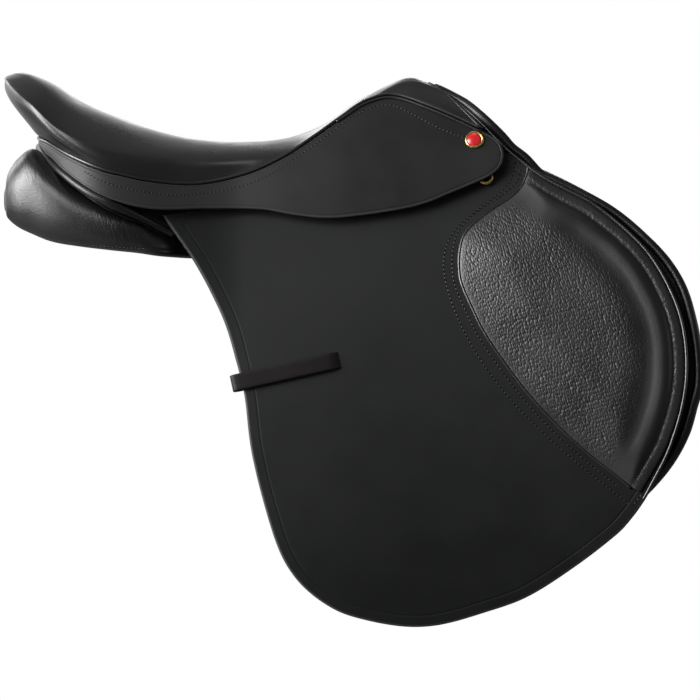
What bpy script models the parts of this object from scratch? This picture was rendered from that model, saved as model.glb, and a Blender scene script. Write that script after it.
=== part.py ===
"""English jumping saddle: tree, seat, panels, flaps, skirts, billets and fittings.

+X points to the horse's head, +Y to its left side, +Z up. The origin lies on the
centre line, under the lowest part of the seat and between the two panels.
Sizes below are in millimetres; MM turns them into Blender's metres.
"""
import math

import bmesh
import bpy
import numpy as np
from mathutils import Matrix, Vector

MM = 0.001

# Clearances
FIT = 0.3
LAYER_GAP = 0.5

# Leather, padding and tree thicknesses
SEAT_LEATHER = 2.0
FOAM = 8.0
WEBBING = 1.8
TREE_WOOD = 8.0
SKIRT_LEATHER = 4.0
FITTING_ROOM = 6.5
FLAP_LEATHER = 4.0
GUARD_LEATHER = 2.0
BILLET_LEATHER = 3.5
SWEAT_LEATHER = 3.0
PAD_CROWN = 11.0
BLOCK_THICKNESS = 5.5

# Depths below the outer skirt surface, one layer after another
SKIRT_IN = SKIRT_LEATHER
FLAP_OUT = SKIRT_IN + FITTING_ROOM
FLAP_IN = FLAP_OUT + FLAP_LEATHER
GUARD_OUT = FLAP_IN + LAYER_GAP
GUARD_IN = GUARD_OUT + GUARD_LEATHER
BILLET_OUT = GUARD_IN + LAYER_GAP
BILLET_IN = BILLET_OUT + BILLET_LEATHER
SWEAT_OUT = BILLET_IN + LAYER_GAP
SWEAT_IN = SWEAT_OUT + SWEAT_LEATHER
POINT_OUT = SWEAT_IN + LAYER_GAP
POINT_THICKNESS = 9.0

# Half width of the saddle's side at each height (height, half width)
FLANK_PROFILE = [
    (-345, 190), (-250, 182), (-150, 165), (-50, 139), (20, 114), (60, 98),
    (90, 86), (120, 72), (142, 60), (155, 51), (165, 41), (172, 30), (178, 14),
]
REAR_FLARE = 42.0
REAR_FLARE_START = -2.0
REAR_FLARE_LENGTH = 153.0
REAR_TURN = -120.0
REAR_TURN_LENGTH = 86.0
REAR_TURN_POWER = 2.4
SHOULDER_START = 150.0
SHOULDER_SWEEP = 0.0004

# Seat: centre line, shoulder and welt, row by row from the cantle to the head (x, z)
SEAT_CENTRE = [
    (-222, 184), (-210, 181), (-187, 171), (-158, 153), (-123, 139), (-85, 126),
    (-45, 118.5), (0, 117), (38, 121), (72, 134), (98, 152), (122, 166), (146, 177),
    (158, 179), (168, 176),
]
SEAT_SHOULDER = [
    (-235, 0, 175), (-231, 40, 168), (-211, 84, 147), (-175, 111, 126), (-134, 119, 112),
    (-90, 104, 104), (-47, 86, 100), (0, 72, 103), (38, 64, 112), (67, 57, 128),
    (92, 48, 146), (118, 37, 161), (144, 28, 172), (168, 28, 171), (190, 36, 163),
]
SEAT_WELT = [
    (-203, 121), (-199, 120), (-187, 116), (-160, 103), (-127, 91), (-90, 83), (-46, 80),
    (-2, 89), (34, 105), (62, 123), (89, 142), (112, 157), (140, 163), (180, 150), (223, 131),
]
SEAT_ROWS = len(SEAT_WELT) - 1
SEAT_DISH = 0.28
CANTLE_ROW = 2.75
RAIL_START_ROW = 4.02
RAIL_END_ROW = 10
HEAD_ROW = 11.8
FOAM_END_ROW = 13
GRID_ROWS = [0.0, 0.5, 1, 1.5, 2, 2.4, CANTLE_ROW, 3, 3.5, 4, 5, 6, 7, 7.5, 8, 8.5, 9, 9.5, 10,
             10.5, 11, 11.5, 12, 12.7, 13.2, 13.6, 14]
GRID_COLUMNS = [0, 0.18, 0.34, 0.5, 0.62, 0.74, 0.86, 1.0]
SPRING_STEEL = 1.5
WELT_RADIUS = 2.2

# Leather outlines on the side of the saddle (x, z)
SKIRT_OUTLINE = [
    (-204, 116), (-198, 108), (-190, 102), (-173, 88), (-149, 77), (-126, 68), (-97, 60),
    (-60, 56), (-16, 57), (14, 55), (44, 50), (74, 47), (104, 49), (145, 55), (170, 61),
    (192, 70), (214, 79), (231, 87), (240, 95), (243, 105), (242, 114), (237, 121), (230, 126),
]
SKIRT_FOLD_REAR = (-16, 57.5)
SKIRT_FOLD_FRONT = (243, 115.4)
FLAP_FOLD_REAR = (-50, 13)
FLAP_FOLD_FRONT = (300, 82.4)
FOLD_GAP = 0.8
FLAP_TOP_OUTLINE = [
    (-76, 54), (-66, 41), (-52, 18), (-45, 8), (300, 78), (280, 90), (258, 107), (247, 116),
    (233, 126), (218, 125), (195, 127), (165, 131), (130, 132), (108, 124), (88, 112),
    (60, 94), (34, 78), (0, 64), (-40, 58),
]
FLAP_OUTLINE = [
    (-76, 54), (-60, 31), (-45, 8), (-30, -21), (-18, -50), (-9, -83), (-2, -114), (5, -168),
    (21, -231), (35, -269), (54, -295), (83, -316), (113, -326), (151, -332), (182, -330),
    (221, -319), (261, -304), (304, -276), (345, -243), (359, -227), (374, -203), (395, -161),
    (409, -110), (410, -63), (400, -22), (375, 22), (331, 62), (298, 80), (280, 90), (240, 100),
    (0, 60),
]
PAD_OUTLINE = [
    (286, 76), (266, 78), (258, 74), (250, 67), (236, 57), (222, 48), (212, 37), (205, 25),
    (203, 5), (206, -17), (214, -36), (225, -56), (254, -100), (272, -121), (305, -150),
    (346, -183), (370, -200), (391, -161), (405, -110), (406, -63), (396, -24), (371, 19),
    (328, 58), (298, 75),
]
SWEAT_OUTLINE = [
    (-42, 40), (-34, 18), (-20, -30), (-4, -83), (4, -130), (14, -190), (34, -240), (60, -282),
    (100, -305), (150, -312), (200, -304), (260, -282), (310, -250), (359, -216), (374, -203),
    (395, -177), (410, -149), (418, -122), (423, -103), (423, -71), (418, -38), (410, -9),
    (395, 17), (371, 43), (347, 63), (316, 81), (283, 98), (260, 111), (246, 122), (238, 124),
    (222, 88), (208, 70), (120, 60), (60, 55), (-10, 46),
]
BLOCK_OUTLINE = [
    (268, 60), (300, 52), (345, 28), (378, -15), (394, -60), (396, -105), (384, -145),
    (366, -170), (348, -160), (352, -110), (344, -60), (322, -20), (290, 8), (262, 30),
]
GUARD_OUTLINE = [
    (17, 42), (16, -60), (16, -112), (26, -124), (74, -130), (122, -124), (132, -112),
    (131, -60), (130, 56), (74, 50),
]
FOLD_LINES_X = [-204, -201.5, -197, -188, -174, -155, -130, -105, -82, -60, -40, -20, -2, 60, 110,
                150, 190, 225, 255, 290, 330, 370]
FOLD_LINES_Z = [-300, -250, -200, -150, -100, -50, 0, 30, 60, 90, 115, 135, 150]

# Billets
BILLET_WIDTH = 25.0
BILLET_TOP = 58.0
BILLET_BOTTOM = -236.0
BILLET_TIP = 12.0
BILLET_PIVOT = 50.0
BILLET_PLACES = {"front": 105.0, "middle": 69.0, "rear": 33.0}

# Rear of each panel: (x, top, underside, inner half width, outer half width)
PANEL_REAR = [
    (-231, 71, 52, 60, 76), (-228, 82, 42, 47, 94), (-219, 91.5, 32, 38, 108), (-205, 93.6, 23, 34, 117),
    (-185, 81.6, 15, 32, 125), (-160, 68, 11, 32, 129), (-130, 55.3, 8, 32, 130),
    (-105, 47, 6, 32, 127),
]
# Front of each panel: (x, top, underside, inner half width, depth under the skirt surface)
PANEL_FRONT = [
    (-84, 38, 4, 32, 17), (-62, 38, 2, 32, 25.8), (-42, 42, 1, 32, 26), (-12, 50, 0, 32, 26),
    (25, 56, 0, 32, 26), (65, 58, 0, 32, 26), (105, 62, -6, 30, 26), (140, 66, -14, 29, 30),
    (160, 70, -20, 29, 38), (180, 74, -26, 29, 38), (205, 82, -32, 30, 38), (226, 86, -34, 34, 38),
    (240, 84, -20, 46, 38),
]
PANEL_TOP_RISE = 0.14
PANEL_INNER_RISE = 0.30
PANEL_ROUND = 0.55
PANEL_END_SWELL = 1.5
PANEL_SIDES = 16
BEARING_X = (-20, 70)
BEARING_CUT = 3.0

# Head of the tree, girth webs and rolls
HEAD_SIDE = [(163, 136), (173, 121), (180, 100), (186, 74), (190, 46)]
HEAD_TOP_X = 140.0
HEAD_WIDTH = 30.0
HEAD_PLATE = 2.0
HEAD_DROP = 4.5
HEAD_CROWN = 17.0
FACING_GAP = 0.9
WEB_END = 58.8
BINDING_RADIUS = 2.8
FRONT_ROLL = [(184, 0, 169), (188.5, 11, 167), (197, 23, 161), (209.5, 38, 150),
              (224, 51, 137), (234, 58, 127)]
FRONT_ROLL_RADIUS = 5.0
REAR_ROLL_BACK = (-209, 113)
REAR_ROLL = [(-205.2, 111.9), (-201, 105.8), (-190, 95.1), (-173, 82.2), (-149, 70.4),
             (-126, 61.4), (-97, 53.4), (-76, 48.4)]
REAR_ROLL_RADIUS = 4.4

# Fittings
BAR_CENTRE = (164, 86)
BAR_RISE = (1.0, 0.2)
BAR_LENGTH = 74.0
BAR_HEIGHT = 15.0
BAR_PLATE = 3.0
BAR_FINGER = 4.4
BAR_LAP = 10.0
BAR_BRIDGE = 8.0
CATCH_LENGTH = 11.0
CATCH_HEIGHT = 12.0
BAR_SLOT_ROOM = 7.0
RIVET_RADIUS = 1.8
DEE_PLACE = (223, 89)
DEE_WIRE = 1.5
DEE_WIDTH = 25.0
DEE_DROP = 15.0
DEE_LOOP_LEATHER = 0.8
DEE_LOOP_WIDTH = 14.0
DEE_LOOP_REACH = 16.0
STUD_PLACE = (216, 120)
STUD_RADIUS = 8.0
STUD_HEIGHT = 2.4
STRAP_START = (-10, -104)
STRAP_END = (88, -82)
STRAP_WIDTH = 16.0
STRAP_LEATHER = 2.3
STRAP_LIFT = 5.6

COLLECTION = "english_saddle"
CUTTERS = "cutters"


def clear_scene():
    """Remove whatever the scene holds."""
    for thing in list(bpy.data.objects):
        bpy.data.objects.remove(thing)


def collection(name):
    """Make a collection in the scene."""
    made = bpy.data.collections.new(name)
    bpy.context.scene.collection.children.link(made)
    return made


def material(name, colour, rough, metal=0.0):
    """A Principled material, made once per name."""
    found = bpy.data.materials.get(name)
    if found:
        return found
    made = bpy.data.materials.new(name)
    made.use_nodes = True
    shader = made.node_tree.nodes["Principled BSDF"]
    shader.inputs["Base Color"].default_value = (*colour, 1.0)
    shader.inputs["Roughness"].default_value = rough
    shader.inputs["Metallic"].default_value = metal
    return made


FINISH = {
    "seat_leather": ((0.022, 0.022, 0.024), 0.34, 0.0),
    "flap_leather": ((0.018, 0.019, 0.020), 0.58, 0.0),
    "grain_leather": ((0.020, 0.021, 0.022), 0.45, 0.0),
    "strap_leather": ((0.024, 0.017, 0.016), 0.50, 0.0),
    "lining_leather": ((0.020, 0.020, 0.021), 0.55, 0.0),
    "foam": ((0.62, 0.57, 0.42), 0.9, 0.0),
    "webbing": ((0.52, 0.47, 0.38), 0.85, 0.0),
    "beech": ((0.50, 0.34, 0.19), 0.6, 0.0),
    "steel": ((0.52, 0.53, 0.55), 0.35, 1.0),
    "brass": ((0.72, 0.52, 0.22), 0.28, 1.0),
    "enamel": ((0.45, 0.010, 0.012), 0.2, 0.0),
}


def smooth_between(stations, at):
    """Monotone cubic through (position, value) stations."""
    xs = [s[0] for s in stations]
    ys = [s[1] for s in stations]
    at = min(max(at, xs[0]), xs[-1])
    i = min(max(int(np.searchsorted(xs, at)) - 1, 0), len(xs) - 2)
    slopes = [(ys[k + 1] - ys[k]) / (xs[k + 1] - xs[k]) for k in range(len(xs) - 1)]

    def tangent(k):
        if k == 0:
            return slopes[0]
        if k == len(xs) - 1:
            return slopes[-1]
        a, b = slopes[k - 1], slopes[k]
        return 0.0 if a * b <= 0 else 2 * a * b / (a + b)

    h = xs[i + 1] - xs[i]
    t = (at - xs[i]) / h
    return ((2 * t ** 3 - 3 * t ** 2 + 1) * ys[i] + (t ** 3 - 2 * t ** 2 + t) * h * tangent(i)
            + (3 * t ** 2 - 2 * t ** 3) * ys[i + 1] + (t ** 3 - t ** 2) * h * tangent(i + 1))


def flank(x, z):
    """Half width of the skirt's outer surface at a place on the saddle's side."""
    y = smooth_between(FLANK_PROFILE, z)
    t = min(max((REAR_FLARE_START - x) / REAR_FLARE_LENGTH, 0.0), 1.0)
    y += REAR_FLARE * t * t * (3 - 2 * t)
    y += SHOULDER_SWEEP * max(0.0, x - SHOULDER_START) ** 2
    if x < REAR_TURN:
        turn = min(1.0, (REAR_TURN - x) / REAR_TURN_LENGTH)
        y *= (1 - turn ** REAR_TURN_POWER) ** (1 / REAR_TURN_POWER)
    return y


def flank_point(x, z, depth=0.0):
    """A point at a depth under the flank surface, on the left side."""
    step = 1.0
    slope_x = (flank(x + step, z) - flank(x - step, z)) / (2 * step)
    slope_z = (flank(x, z + step) - flank(x, z - step)) / (2 * step)
    normal = Vector((-slope_x, 1.0, -slope_z)).normalized()
    return Vector((x, flank(x, z), z)) - normal * depth


def flank_y(x, z, depth):
    """Half width of a layer at a height, measured level: depth is square to the leather."""
    slope_z = flank(x, z + 1.0) - flank(x, z)
    return flank(x, z) - depth * math.hypot(1.0, slope_z)


def row_value(table, t, k):
    """Smooth value of column k of a table at a fractional row."""
    n = len(table) - 1
    i = min(int(t), n - 1)
    f = t - i
    p = [table[min(max(i + j, 0), n)][k] for j in (-1, 0, 1, 2)]
    return 0.5 * (2 * p[1] + (p[2] - p[0]) * f + (2 * p[0] - 5 * p[1] + 4 * p[2] - p[3]) * f ** 2
                  + (3 * p[1] - p[0] - 3 * p[2] + p[3]) * f ** 3)


def welt_point(t):
    """The seam between seat and skirt at a row, on the left side."""
    x, z = row_value(SEAT_WELT, t, 0), row_value(SEAT_WELT, t, 1)
    return Vector((x, flank(x, z), z))


def seat_surface(t, v):
    """Top of the seat leather: t runs from cantle to head, v from the centre line to the welt."""
    cx, cz = row_value(SEAT_CENTRE, t, 0), row_value(SEAT_CENTRE, t, 1)
    shoulder = Vector([row_value(SEAT_SHOULDER, t, k) for k in range(3)])
    centre = Vector((cx, 0.0, cz))
    welt = welt_point(t)
    inner = centre.lerp(shoulder, 0.5)
    inner.x = centre.x + SEAT_DISH * (shoulder.x - centre.x)
    inner.z = centre.z - SEAT_DISH * (centre.z - shoulder.z)
    points = [Vector((inner.x, -inner.y, inner.z)), centre, inner, shoulder, welt,
              welt * 2 - shoulder]
    s = 1 + v * 3
    i = min(int(s), 3)
    f = s - i
    p = points[i - 1:i + 3]
    return 0.5 * (p[1] * 2 + (p[2] - p[0]) * f + (p[0] * 2 - p[1] * 5 + p[2] * 4 - p[3]) * f ** 2
                  + (p[1] * 3 - p[0] - p[2] * 3 + p[3]) * f ** 3)


def seat_point(t, v, depth=0.0):
    """A point at a depth under the seat surface, on the left side."""
    e = 0.02
    t0, t1 = max(t - e * 5, 0.0), min(t + e * 5, float(SEAT_ROWS))
    v0, v1 = v - e, v + e
    along = seat_surface(t1, max(v, 0.02)) - seat_surface(t0, max(v, 0.02))
    across = seat_surface(t, min(v1, 1.0)) - seat_surface(t, max(v0, 0.0))
    normal = along.cross(across).normalized()
    if v <= 0.001:
        normal.y = 0.0
        normal.normalize()
    return seat_surface(t, v) - normal * depth


def new_object(name, mesh_name, finish, group):
    """An empty mesh object with its material."""
    mesh = bpy.data.meshes.new(mesh_name)
    thing = bpy.data.objects.new(name, mesh)
    group.objects.link(thing)
    colour, rough, metal = FINISH[finish]
    mesh.materials.append(material(finish, colour, rough, metal))
    return thing


def store(thing, bm, origin=(0, 0, 0), mirrored=False):
    """Write a bmesh in millimetres to an object whose origin is given in millimetres."""
    if mirrored:
        bmesh.ops.scale(bm, vec=(1, -1, 1), verts=bm.verts)
        bmesh.ops.reverse_faces(bm, faces=bm.faces)
        origin = (origin[0], -origin[1], origin[2])
    bmesh.ops.translate(bm, vec=-Vector(origin), verts=bm.verts)
    bmesh.ops.scale(bm, vec=(MM, MM, MM), verts=bm.verts)
    bmesh.ops.triangulate(bm, faces=bm.faces)
    bm.to_mesh(thing.data)
    bm.free()
    thing.location = Vector(origin) * MM
    thing.data.shade_smooth()
    thing.data.set_sharp_from_angle(angle=math.radians(35))
    return thing


def outward(bm):
    """Turn every face of a closed bmesh outwards."""
    bmesh.ops.recalc_face_normals(bm, faces=bm.faces)
    if bm.calc_volume(signed=True) < 0:
        bmesh.ops.reverse_faces(bm, faces=bm.faces)


def close_layers(bm, top, low):
    """Join two grids of vertices into one closed layer."""
    n, m = len(top) - 1, len(top[0]) - 1
    for i in range(n):
        for j in range(m):
            bm.faces.new((top[i][j], top[i + 1][j], top[i + 1][j + 1], top[i][j + 1]))
            bm.faces.new((low[i][j], low[i][j + 1], low[i + 1][j + 1], low[i + 1][j]))
        bm.faces.new((top[i + 1][0], top[i][0], low[i][0], low[i + 1][0]))
        bm.faces.new((top[i][m], top[i + 1][m], low[i + 1][m], low[i][m]))
    for j in range(m):
        bm.faces.new((top[0][j], top[0][j + 1], low[0][j + 1], low[0][j]))
        bm.faces.new((top[n][j + 1], top[n][j], low[n][j], low[n][j + 1]))
    outward(bm)


def outline_sheet(outline, lines_x, lines_z):
    """A flat sheet in the x-z plane, cut along the lines where the leather bends."""
    bm = bmesh.new()
    bm.faces.new([bm.verts.new((x, 0, z)) for x, z in outline])
    for x in lines_x:
        geometry = bm.verts[:] + bm.edges[:] + bm.faces[:]
        bmesh.ops.bisect_plane(bm, geom=geometry, plane_co=(x, 0, 0), plane_no=(1, 0, 0), dist=0.3)
    for z in lines_z:
        geometry = bm.verts[:] + bm.edges[:] + bm.faces[:]
        bmesh.ops.bisect_plane(bm, geom=geometry, plane_co=(0, 0, z), plane_no=(0, 0, 1), dist=0.3)
    return bm


def cut_sheet(bm, point, direction, keep_above):
    """Trim a flat sheet along a straight line in the x-z plane."""
    normal = Vector((-direction[1], 0, direction[0])).normalized()
    if keep_above:
        normal = -normal
    geometry = bm.verts[:] + bm.edges[:] + bm.faces[:]
    bmesh.ops.bisect_plane(bm, geom=geometry, plane_co=(point[0], 0, point[1]), plane_no=normal,
                           clear_outer=True, dist=0.05)


def edge_distance(outline, x, z):
    """Distance from a place inside an outline to its nearest edge."""
    best = 1e9
    for (ax, az), (bx, bz) in zip(outline, outline[1:] + outline[:1]):
        dx, dz = bx - ax, bz - az
        t = min(max(((x - ax) * dx + (z - az) * dz) / (dx * dx + dz * dz), 0), 1)
        best = min(best, math.hypot(x - ax - dx * t, z - az - dz * t))
    return best


def raise_sheet(bm, outer, inner):
    """Give a flat sheet its thickness and lay it on the flank: outer and inner depths."""
    bmesh.ops.recalc_face_normals(bm, faces=bm.faces)
    if bm.faces[:][0].normal.y < 0:
        bmesh.ops.reverse_faces(bm, faces=bm.faces)
    front = bm.faces[:]
    copied = bmesh.ops.duplicate(bm, geom=bm.verts[:] + bm.edges[:] + front)
    back = [g for g in copied["geom"] if isinstance(g, bmesh.types.BMFace)]
    back_of = copied["vert_map"]
    pairs = [(v, back_of[v]) for v in {v for f in front for v in f.verts}]
    bmesh.ops.reverse_faces(bm, faces=back)
    for edge in [e for e in {e for f in front for e in f.edges} if len(e.link_faces) == 1]:
        a, b = edge.link_loops[0].vert, edge.link_loops[0].link_loop_next.vert
        bm.faces.new((b, a, back_of[a], back_of[b]))
    for top, low in pairs:
        x, z = top.co.x, top.co.z
        top.co = flank_point(x, z, outer(x, z))
        low.co = flank_point(x, z, inner(x, z))


def flat(depth):
    """A constant depth."""
    return lambda x, z: depth


def leather(name, finish, group, outline, outer, inner, mirrored, trim=None, origin=(0, 0, 0),
            lines_x=None, lines_z=None):
    """A piece of leather cut to an outline and laid on the saddle's side."""
    bm = outline_sheet(outline, FOLD_LINES_X if lines_x is None else lines_x,
                       FOLD_LINES_Z if lines_z is None else lines_z)
    if trim:
        cut_sheet(bm, *trim)
    raise_sheet(bm, outer, inner)
    thing = new_object(name, name, finish, group)
    return store(thing, bm, origin, mirrored)


def seat_layer(name, finish, group, rows, cols, outer, inner, short_of_welt=0.0):
    """A layer of the seat between two depths, both halves in one piece."""
    bm = bmesh.new()
    full = [-v for v in cols[::-1] if v > 0] + list(cols)

    def point(t, v, depth):
        if abs(v) == 1.0:
            reach = (seat_surface(t, 1.0) - seat_surface(t, 0.86)).length
            v = math.copysign(1.0 - 0.14 * min(short_of_welt / reach, 1.0), v)
        p = seat_point(t, abs(v), depth)
        return (p.x, p.y if v >= 0 else -p.y, p.z)

    top, low = [[[bm.verts.new(point(t, v, d)) for v in full] for t in rows]
                for d in (outer, inner)]
    close_layers(bm, top, low)
    bmesh.ops.remove_doubles(bm, verts=bm.verts, dist=0.01)
    thing = new_object(name, name, finish, group)
    return store(thing, bm)


def seat_strip(name, finish, group, rows, cols, outer, inner, mirrored):
    """A layer of one half of the seat between two depths."""
    bm = bmesh.new()
    top, low = [[[bm.verts.new(seat_point(t, v, d)) for v in cols] for t in rows]
                for d in (outer, inner)]
    close_layers(bm, top, low)
    thing = new_object(name, name, finish, group)
    return store(thing, bm, (0, 0, 0), mirrored)


def tube(name, finish, group, points, radius, resolution=2):
    """A round cord or roll along points, as a curve with filled caps."""
    curve = bpy.data.curves.new(name, "CURVE")
    curve.dimensions = "3D"
    curve.bevel_depth = radius * MM
    curve.bevel_resolution = resolution
    curve.resolution_u = 1
    curve.render_resolution_u = 0
    curve.use_fill_caps = True
    spline = curve.splines.new("POLY")
    spline.points.add(len(points) - 1)
    for place, point in zip(spline.points, points):
        place.co = (*(Vector(point) * MM), 1.0)
    thing = bpy.data.objects.new(name, curve)
    group.objects.link(thing)
    colour, rough, metal = FINISH[finish]
    curve.materials.append(material(finish, colour, rough, metal))
    return thing


def span(start, end, count):
    """Evenly spaced values."""
    return [start + (end - start) * i / (count - 1) for i in range(count)]


def smooth_path(points, count):
    """A smooth curve through a few chosen points."""
    table = [tuple(p) for p in points]
    return [Vector([row_value(table, t, k) for k in range(3)])
            for t in span(0, len(table) - 1, count)]


def seat_pieces(group):
    """Seat cover, foam, webs and the wooden tree under them."""
    seat_layer("seat_cover", "seat_leather", group, GRID_ROWS, GRID_COLUMNS, 0.0, SEAT_LEATHER,
               WELT_RADIUS + 6 * LAYER_GAP)
    foam_in = SEAT_LEATHER + LAYER_GAP + FOAM
    seat_layer("seat_foam", "foam", group, [t for t in GRID_ROWS if CANTLE_ROW <= t < FOAM_END_ROW],
               GRID_COLUMNS[:5], SEAT_LEATHER + LAYER_GAP, foam_in)
    web_out = foam_in + LAYER_GAP
    web_in = web_out + WEBBING
    for side, mirrored in (("left", False), ("right", True)):
        seat_strip("seat_web_" + side, "webbing", group, [t for t in GRID_ROWS if 3 <= t <= 12],
                   GRID_COLUMNS[1:3], web_out, web_in, mirrored)
    wood_out = web_in + WEBBING + 2 * LAYER_GAP
    wood_in = wood_out + TREE_WOOD
    seat_layer("tree_cantle", "beech", group, [CANTLE_ROW, 3, 3.5, 4.0], GRID_COLUMNS[:4], wood_out,
               wood_in)
    rail_rows = [RAIL_START_ROW]
    rail_rows += [t for t in GRID_ROWS if RAIL_START_ROW < t <= RAIL_END_ROW]
    for side, mirrored in (("left", False), ("right", True)):
        seat_strip("tree_rail_" + side, "beech", group, rail_rows, GRID_COLUMNS[2:5],
                   wood_out, wood_in, mirrored)
        seat_strip("spring_steel_" + side, "steel", group, rail_rows[1:], GRID_COLUMNS[3:5],
                   wood_in + FIT, wood_in + FIT + SPRING_STEEL, mirrored)


def welts(group):
    """Round welts along the seam between seat and skirt."""
    for side, sign in (("left", 1), ("right", -1)):
        points = []
        for t in span(0.35, SEAT_ROWS - 0.05, 44):
            p = welt_point(t)
            points.append((p.x, sign * p.y, p.z))
        tube("seat_welt_" + side, "seat_leather", group, points, WELT_RADIUS, 1)


def flap_axis():
    """The flap's fold line on its outer face: a point and a direction."""
    a = flank_point(*FLAP_FOLD_REAR, FLAP_OUT)
    b = flank_point(*FLAP_FOLD_FRONT, FLAP_OUT)
    return a, (b - a).normalized()


def skirt_axis():
    """The skirt's fold line on its outer face: a point and a direction."""
    a = flank_point(*SKIRT_FOLD_REAR, 0)
    b = flank_point(*SKIRT_FOLD_FRONT, 0)
    return a, (b - a).normalized()


def fold_direction(rear, front):
    """Direction of a fold line in the x-z plane."""
    return (front[0] - rear[0], front[1] - rear[1])


def shifted(place, amount):
    """A place on a fold line moved up or down."""
    return (place[0], place[1] + amount)


def skirts(group):
    """The small flaps that cover the stirrup bars, each with a fixed top and a lifting part."""
    upper = []
    for t in span(0.35, SEAT_ROWS, 46):
        p = welt_point(t)
        upper.append((p.x, p.z))
    drop = WELT_RADIUS + 3 * LAYER_GAP
    direction = fold_direction(SKIRT_FOLD_REAR, SKIRT_FOLD_FRONT)
    top_edge = []
    for (ax, az), (bx, bz) in zip(upper, upper[1:]):
        length = math.hypot(bx - ax, bz - az)
        top_edge.append(((ax + bx) / 2 + (bz - az) / length * drop,
                         (az + bz) / 2 - (bx - ax) / length * drop))
    outline = SKIRT_OUTLINE + top_edge[::-3]
    axis_point, _ = skirt_axis()
    for side, mirrored in (("left", False), ("right", True)):
        leather("skirt_top_" + side, "flap_leather", group, outline, flat(0), flat(SKIRT_IN),
                mirrored, (shifted(SKIRT_FOLD_REAR, FOLD_GAP / 2), direction, True))
        leather("skirt_" + side, "flap_leather", group, outline, flat(0), flat(SKIRT_IN),
                mirrored, (shifted(SKIRT_FOLD_REAR, -FOLD_GAP / 2), direction, False),
                origin=axis_point)


def flaps(group):
    """The large flaps, their fixed tops and the knee pads on them."""
    direction = fold_direction(FLAP_FOLD_REAR, FLAP_FOLD_FRONT)
    axis_point, _ = flap_axis()

    def pad_outer(x, z):
        rise = min(edge_distance(PAD_OUTLINE, x, z) / 34.0, 1.0)
        return FLAP_OUT - FIT - 2.0 - (PAD_CROWN - 2.0) * math.sin(rise * math.pi / 2)

    for side, mirrored in (("left", False), ("right", True)):
        leather("flap_top_" + side, "flap_leather", group, FLAP_TOP_OUTLINE, flat(FLAP_OUT),
                flat(FLAP_IN), mirrored, (shifted(FLAP_FOLD_REAR, FOLD_GAP / 2), direction, True))
        leather("flap_" + side, "flap_leather", group, FLAP_OUTLINE, flat(FLAP_OUT), flat(FLAP_IN),
                mirrored, (shifted(FLAP_FOLD_REAR, -FOLD_GAP / 2), direction, False),
                origin=axis_point)
        leather("knee_pad_" + side, "grain_leather", group, PAD_OUTLINE, pad_outer,
                flat(FLAP_OUT - FIT), mirrored,
                (shifted(FLAP_FOLD_REAR, -FOLD_GAP / 2 - 2), direction, False), origin=axis_point,
                lines_x=[220, 240, 262, 286, 310, 334, 358, 382, 396],
                lines_z=[-180, -160, -135, -110, -80, -50, -20, 5, 30, 52, 66])
        leather("sweat_flap_" + side, "lining_leather", group, SWEAT_OUTLINE, flat(SWEAT_OUT),
                flat(SWEAT_IN), mirrored)
        leather("front_block_" + side, "lining_leather", group, BLOCK_OUTLINE,
                flat(SWEAT_OUT - LAYER_GAP - BLOCK_THICKNESS), flat(SWEAT_OUT - LAYER_GAP),
                mirrored)
        leather("buckle_guard_" + side, "lining_leather", group, GUARD_OUTLINE, flat(GUARD_OUT),
                flat(GUARD_IN), mirrored)


def billets(group):
    """Three girth billets on each side."""
    for place, x in BILLET_PLACES.items():
        half = BILLET_WIDTH / 2
        outline = [(x - half, BILLET_TOP), (x - half, BILLET_BOTTOM + BILLET_TIP),
                   (x - 4, BILLET_BOTTOM), (x + 4, BILLET_BOTTOM),
                   (x + half, BILLET_BOTTOM + BILLET_TIP), (x + half, BILLET_TOP)]
        for side, mirrored in (("left", False), ("right", True)):
            pivot = flank_point(x, BILLET_PIVOT, BILLET_IN)
            leather("billet_%s_%s" % (place, side), "strap_leather", group, outline,
                    flat(BILLET_OUT), flat(BILLET_IN), mirrored, origin=pivot, lines_x=[x])


def panel_corners():
    """Corners of the left panel's sections: outer low, outer top, inner low, inner top."""
    sections = []
    for x, top, under, inner, outer in PANEL_REAR:
        sections.append((x, top, under, inner, outer - 3, outer))
    for x, top, under, inner, depth in PANEL_FRONT:
        sections.append((x, top, under, inner, flank_y(x, under, depth), flank_y(x, top, depth)))
    corners = []
    for x, top, under, inner, low_y, top_y in sections:
        top_y = max(top_y, inner + 8)
        corners.append((Vector((x, low_y, under)), Vector((x, top_y, top)),
                        Vector((x, inner + 4, under + PANEL_INNER_RISE * (low_y - inner))),
                        Vector((x, inner, top + PANEL_TOP_RISE * (top_y - inner)))))
    return corners


def panel_ring(corner):
    """One cross-section of the left panel: a soft-cornered quadrilateral."""
    outer_low, outer_top, inner_low, inner_top = corner
    ring = []
    for k in range(PANEL_SIDES):
        angle = 2 * math.pi * (k + 0.5) / PANEL_SIDES
        c, s = math.cos(angle), math.sin(angle)
        a = 0.5 + 0.5 * math.copysign(abs(c) ** PANEL_ROUND, c)
        b = 0.5 + 0.5 * math.copysign(abs(s) ** PANEL_ROUND, s)
        low = inner_low.lerp(outer_low, a)
        high = inner_top.lerp(outer_top, a)
        ring.append(low.lerp(high, b))
    return ring


def bearing_plane():
    """Where the panel's underside is pressed flat against the back: a point and a normal."""
    slope = math.atan(PANEL_INNER_RISE)
    normal = Vector((0, -math.sin(slope), -math.cos(slope)))
    x = sum(BEARING_X) / 2
    low = [c for c in panel_corners() if BEARING_X[0] <= c[0].x <= BEARING_X[1]]
    reach = max(p.dot(normal) for c in low for p in panel_ring(c))
    y = (low[0][0].y + low[0][2].y) / 2
    point = Vector((x, y, 0))
    point += normal * (reach - BEARING_CUT - point.dot(normal))
    return point, normal


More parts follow.
